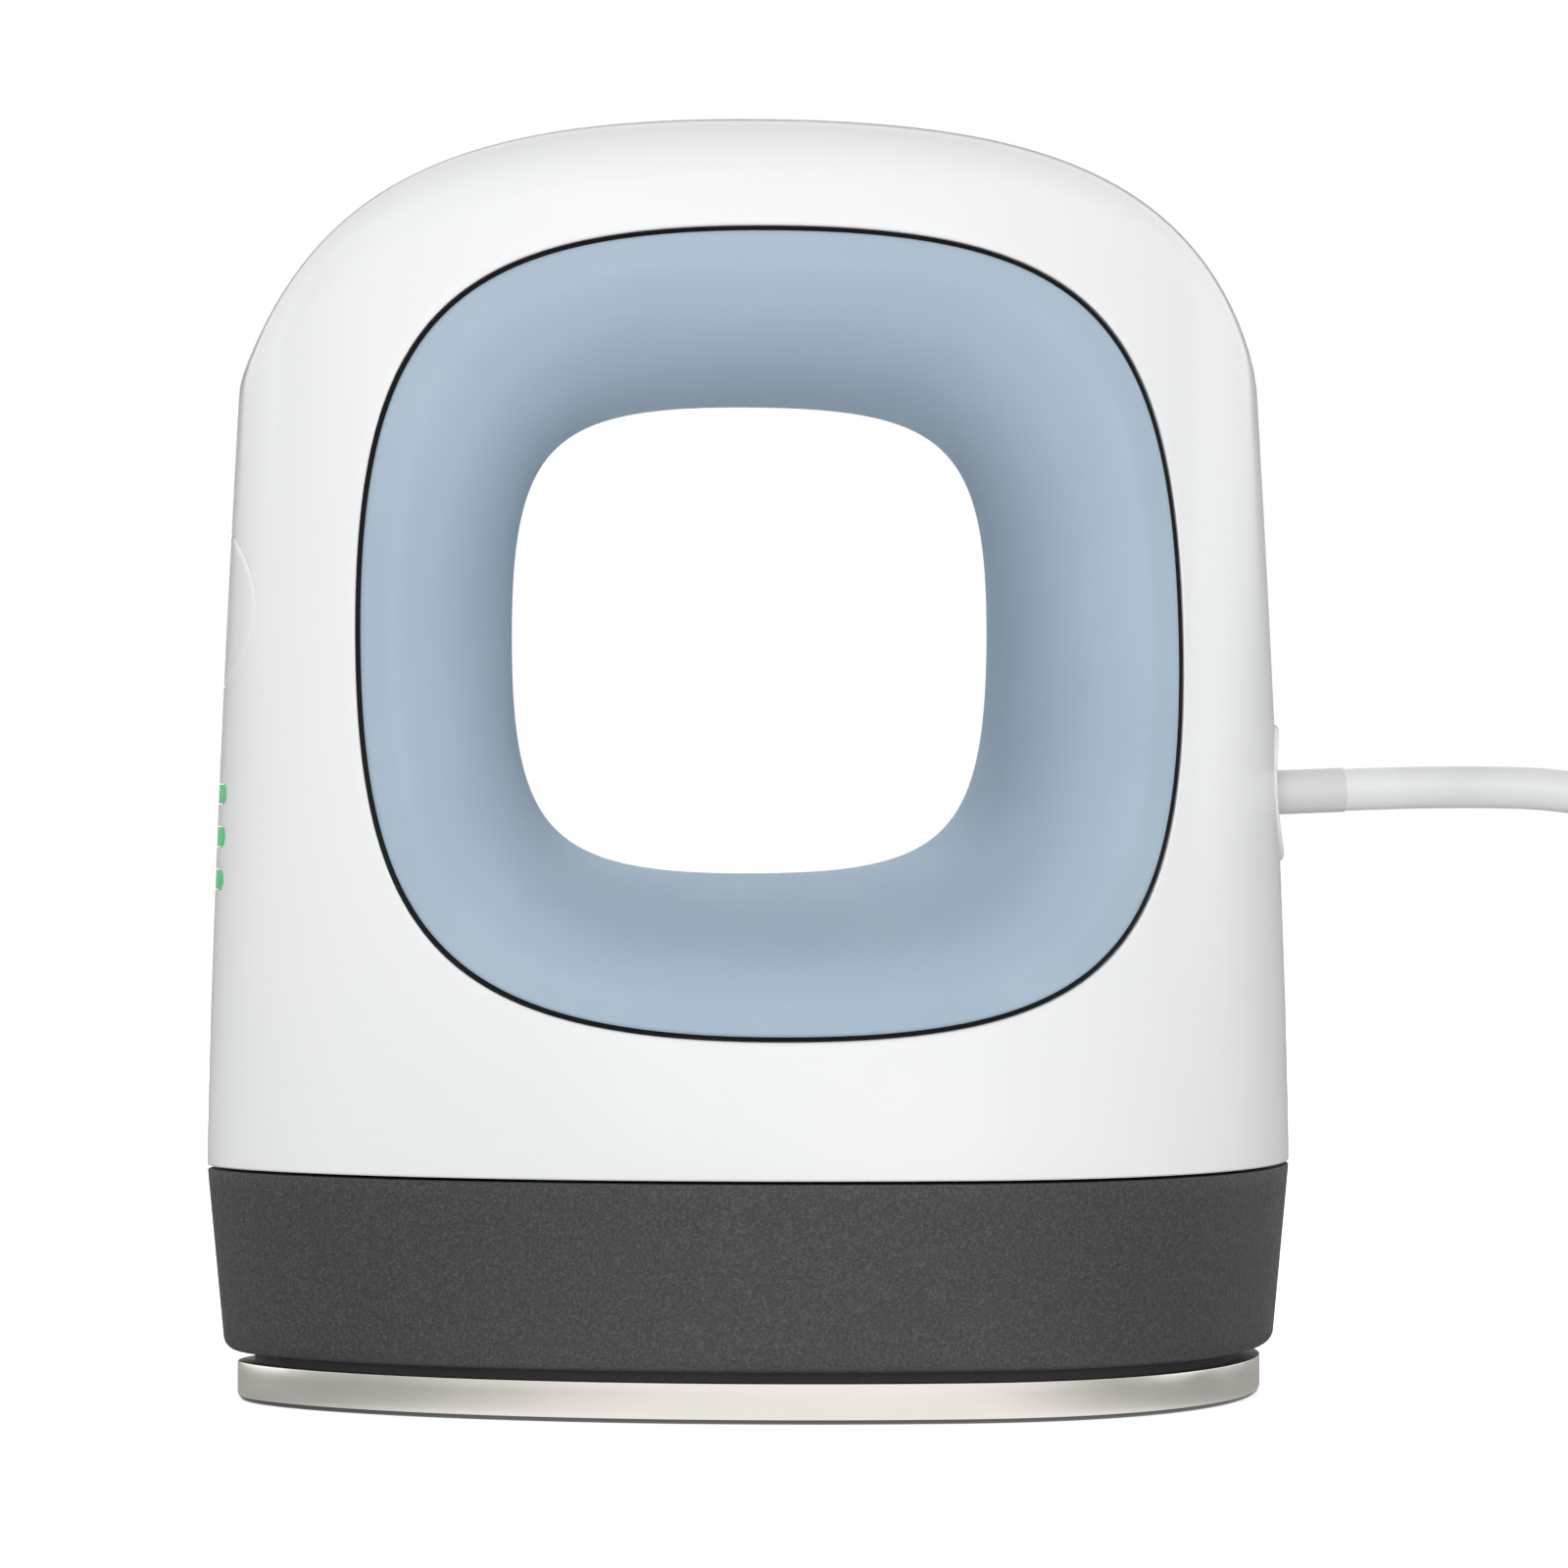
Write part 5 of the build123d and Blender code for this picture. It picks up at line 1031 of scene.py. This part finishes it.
def make_relief_ribs(pvc):
    """Ribs round the plug's tapered strain relief, evenly spaced and thinner towards the cord."""
    x, y, z = PLUG_CABLE_END
    sizes = {
        "Count": RIBS,
        "First Rib": ((x - FIRST_RIB) * MM, y * MM, z * MM),
        "Last Rib": ((x - LAST_RIB) * MM, y * MM, z * MM),
        "First Radius": between(RELIEF_THIN, RELIEF_THICK, 0.1) / 2 * MM,
        "Last Radius": between(RELIEF_THIN, RELIEF_THICK, 0.9) / 2 * MM,
        "Rib Share": RIB_SHARE,
    }
    tree, size = size_tree("strain_relief_ribs", sizes)
    line = add_node(tree, "GeometryNodeCurvePrimitiveLine", Start=size["First Rib"], End=size["Last Rib"])
    spots = add_node(tree, "GeometryNodeResampleCurve", Curve=line[0], Count=size["Count"])
    hoop = add_node(tree, "GeometryNodeCurvePrimitiveCircle", Resolution=48, Radius=1.0)
    section = add_node(tree, "GeometryNodeCurvePrimitiveCircle", Resolution=10, Radius=size["Rib Share"])
    rib = add_node(tree, "GeometryNodeCurveToMesh", Curve=hoop[0],
                   **{"Profile Curve": section[0]})
    upright = add_node(tree, "GeometryNodeTransform", Geometry=rib[0], Rotation=(0, math.pi / 2, 0))
    index = add_node(tree, "GeometryNodeInputIndex")[0]
    taper = remap(tree, index, 0.0, reckon(tree, "SUBTRACT", size["Count"], 1.0), size["First Radius"],
                  size["Last Radius"])
    ribs = add_node(tree, "GeometryNodeInstanceOnPoints", Points=spots[0],
                    Instance=upright[0], Scale=taper)
    end_tree(tree, ribs[0], pvc)
    return grow_piece("relief_ribs", tree, sizes, RIB_EDGE)


def make_socket_lip(abs_plastic):
    """Raised lip of the cord socket, round its dish: highest above and below, and sunk at its sides."""
    turn = np.linspace(0, 2 * math.pi, 96, endpoint=False)
    rows = []
    for radius, proud in LIP_PROFILE:
        y, z = np.cos(turn) * radius, EXIT_HEIGHT + np.sin(turn) * radius
        height = np.where(proud > 0, LIP_SIDES + (proud - LIP_SIDES) * np.sin(turn) ** 2, proud)
        rows.append(np.stack([reach_end(y, z, 1) + height, y, z], axis=-1))
    return finish_mesh("socket_lip", np.concatenate(rows), loop_grid(len(rows), len(turn)), [abs_plastic], 50)


# ---- cord
def coil_lays():
    """Radius and height of each turn of the coil, from its stub at the table to the top row."""
    middle = (COIL_COLUMNS - 1) / 2
    radii = [COIL_MEAN_RADIUS + (column - middle) * COIL_PITCH for column in range(COIL_COLUMNS)]
    lays = []
    for row in range(COIL_ROWS):
        for radius in (radii[::-1] if row % 2 == 0 else radii):
            lays.append((radius, CORD_DIAMETER / 2 + row * COIL_PITCH))
    return lays


def cord_line():
    """Control points of the whole cord, from the guard's end to the plug, in millimetres."""
    lays = coil_lays()
    outer = lays[0][0]
    points = [tuple(exit_point() + GUARD_REACH * EXIT_AXIS), *CORD_ROUTE]
    points.append((COIL_X - COIL_STUB, COIL_Y - outer, CORD_DIAMETER / 2))
    for step in range(len(lays) * TURN_STEPS + 1):
        turn = step / TURN_STEPS
        whole = min(int(turn), len(lays) - 1)
        radius, height = lays[whole]
        if whole + 1 < len(lays):
            # The last quarter of a turn leads over to the next one.
            over = max(0.0, (turn - whole - 0.75) / 0.25)
            ease = over * over * (3 - 2 * over)
            radius = between(radius, lays[whole + 1][0], ease)
            height = between(height, lays[whole + 1][1], ease)
        angle = -math.pi / 2 + 2 * math.pi * turn
        points.append((COIL_X + radius * math.cos(angle), COIL_Y + radius * math.sin(angle), height))
    points.append((COIL_X + COIL_STUB, COIL_Y - outer, lays[-1][1]))
    return [*points, *TAIL_ROUTE, PLUG_CABLE_END]


def make_cord(pvc):
    """The lead as one smooth curve of round section, and its control points."""
    data = bpy.data.curves.new("mains_cord", "CURVE")
    data.dimensions = "3D"
    data.bevel_depth = CORD_DIAMETER / 2 * MM
    data.bevel_resolution = 5
    data.use_fill_caps = True
    spline = data.splines.new("NURBS")
    points = cord_line()
    spline.points.add(len(points) - 1)
    for target, point in zip(spline.points, points):
        target.co = (*(c * MM for c in point), 1)
    spline.order_u = 3
    spline.use_endpoint_u = True
    spline.resolution_u = 6
    data.materials.append(pvc)
    return add_object("mains_cord", data), points


def cord_length(cord):
    """Length of the cord's middle line, in metres."""
    data = cord.data.copy()
    data.bevel_depth = 0
    probe = bpy.data.objects.new("probe", data)
    line = bpy.data.meshes.new_from_object(probe)
    points = np.array([v.co for v in line.vertices])
    bpy.data.objects.remove(probe)
    bpy.data.curves.remove(data)
    return round(float(np.linalg.norm(np.diff(points, axis=0), axis=1).sum()), 3)


# ---- everything together
def place_piece(piece, body, slot, *nodes):
    """Says what a piece rides on and the construction nodes that it takes the place of; its slot is not used.
    """
    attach(piece, body)
    if nodes:
        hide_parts(*nodes)


def main():
    add_camera()
    add_world()
    add_lamps()
    add_floor()
    finishes = make_finishes()
    dress(amber_film(), "heater_film")
    dress(woven_tie(), "coil_tie")
    acrylic = dress(lit_acrylic(), "light_guide", "status_leds")
    abs_plastic = finishes["polished_white_abs"]

    cord, points = make_cord(finishes["extruded_white_pvc"])
    place_piece(cord, "press", "cord_pvc", "cord", "cord_coil", "cord_tail")
    shells = make_shells(abs_plastic)
    cut_openings(shells)
    for shell, node in zip(shells, ("left_shell", "right_shell")):
        place_piece(shell, "press", "gloss_white_abs", node)
    grips = make_grips(finishes["soft_touch_tpe"], finishes["black_substrate_and_gap_shade"])
    for grip, node in zip(grips, ("left_grip", "right_grip")):
        place_piece(grip, "press", "blue_soft_touch", node)
    place_piece(make_skirt(spark_textured_pbt()), "press", "skirt_pbt", "base_skirt")
    place_piece(make_plate(cast_aluminium()), "press", "plate_aluminium", "heat_plate")
    place_piece(make_button(abs_plastic), "power_button", "gloss_white_abs", "power_button")
    place_piece(make_lights(acrylic), "press", "clear_acrylic")
    place_piece(make_socket_lip(abs_plastic), "press", "gloss_white_abs")
    ribs = make_relief_ribs(finishes["matt_white_pvc"])
    place_piece(ribs, "press", "plug_pvc")
    cord_length(cord)


main()
bpy.context.scene.view_settings.view_transform = "Standard"
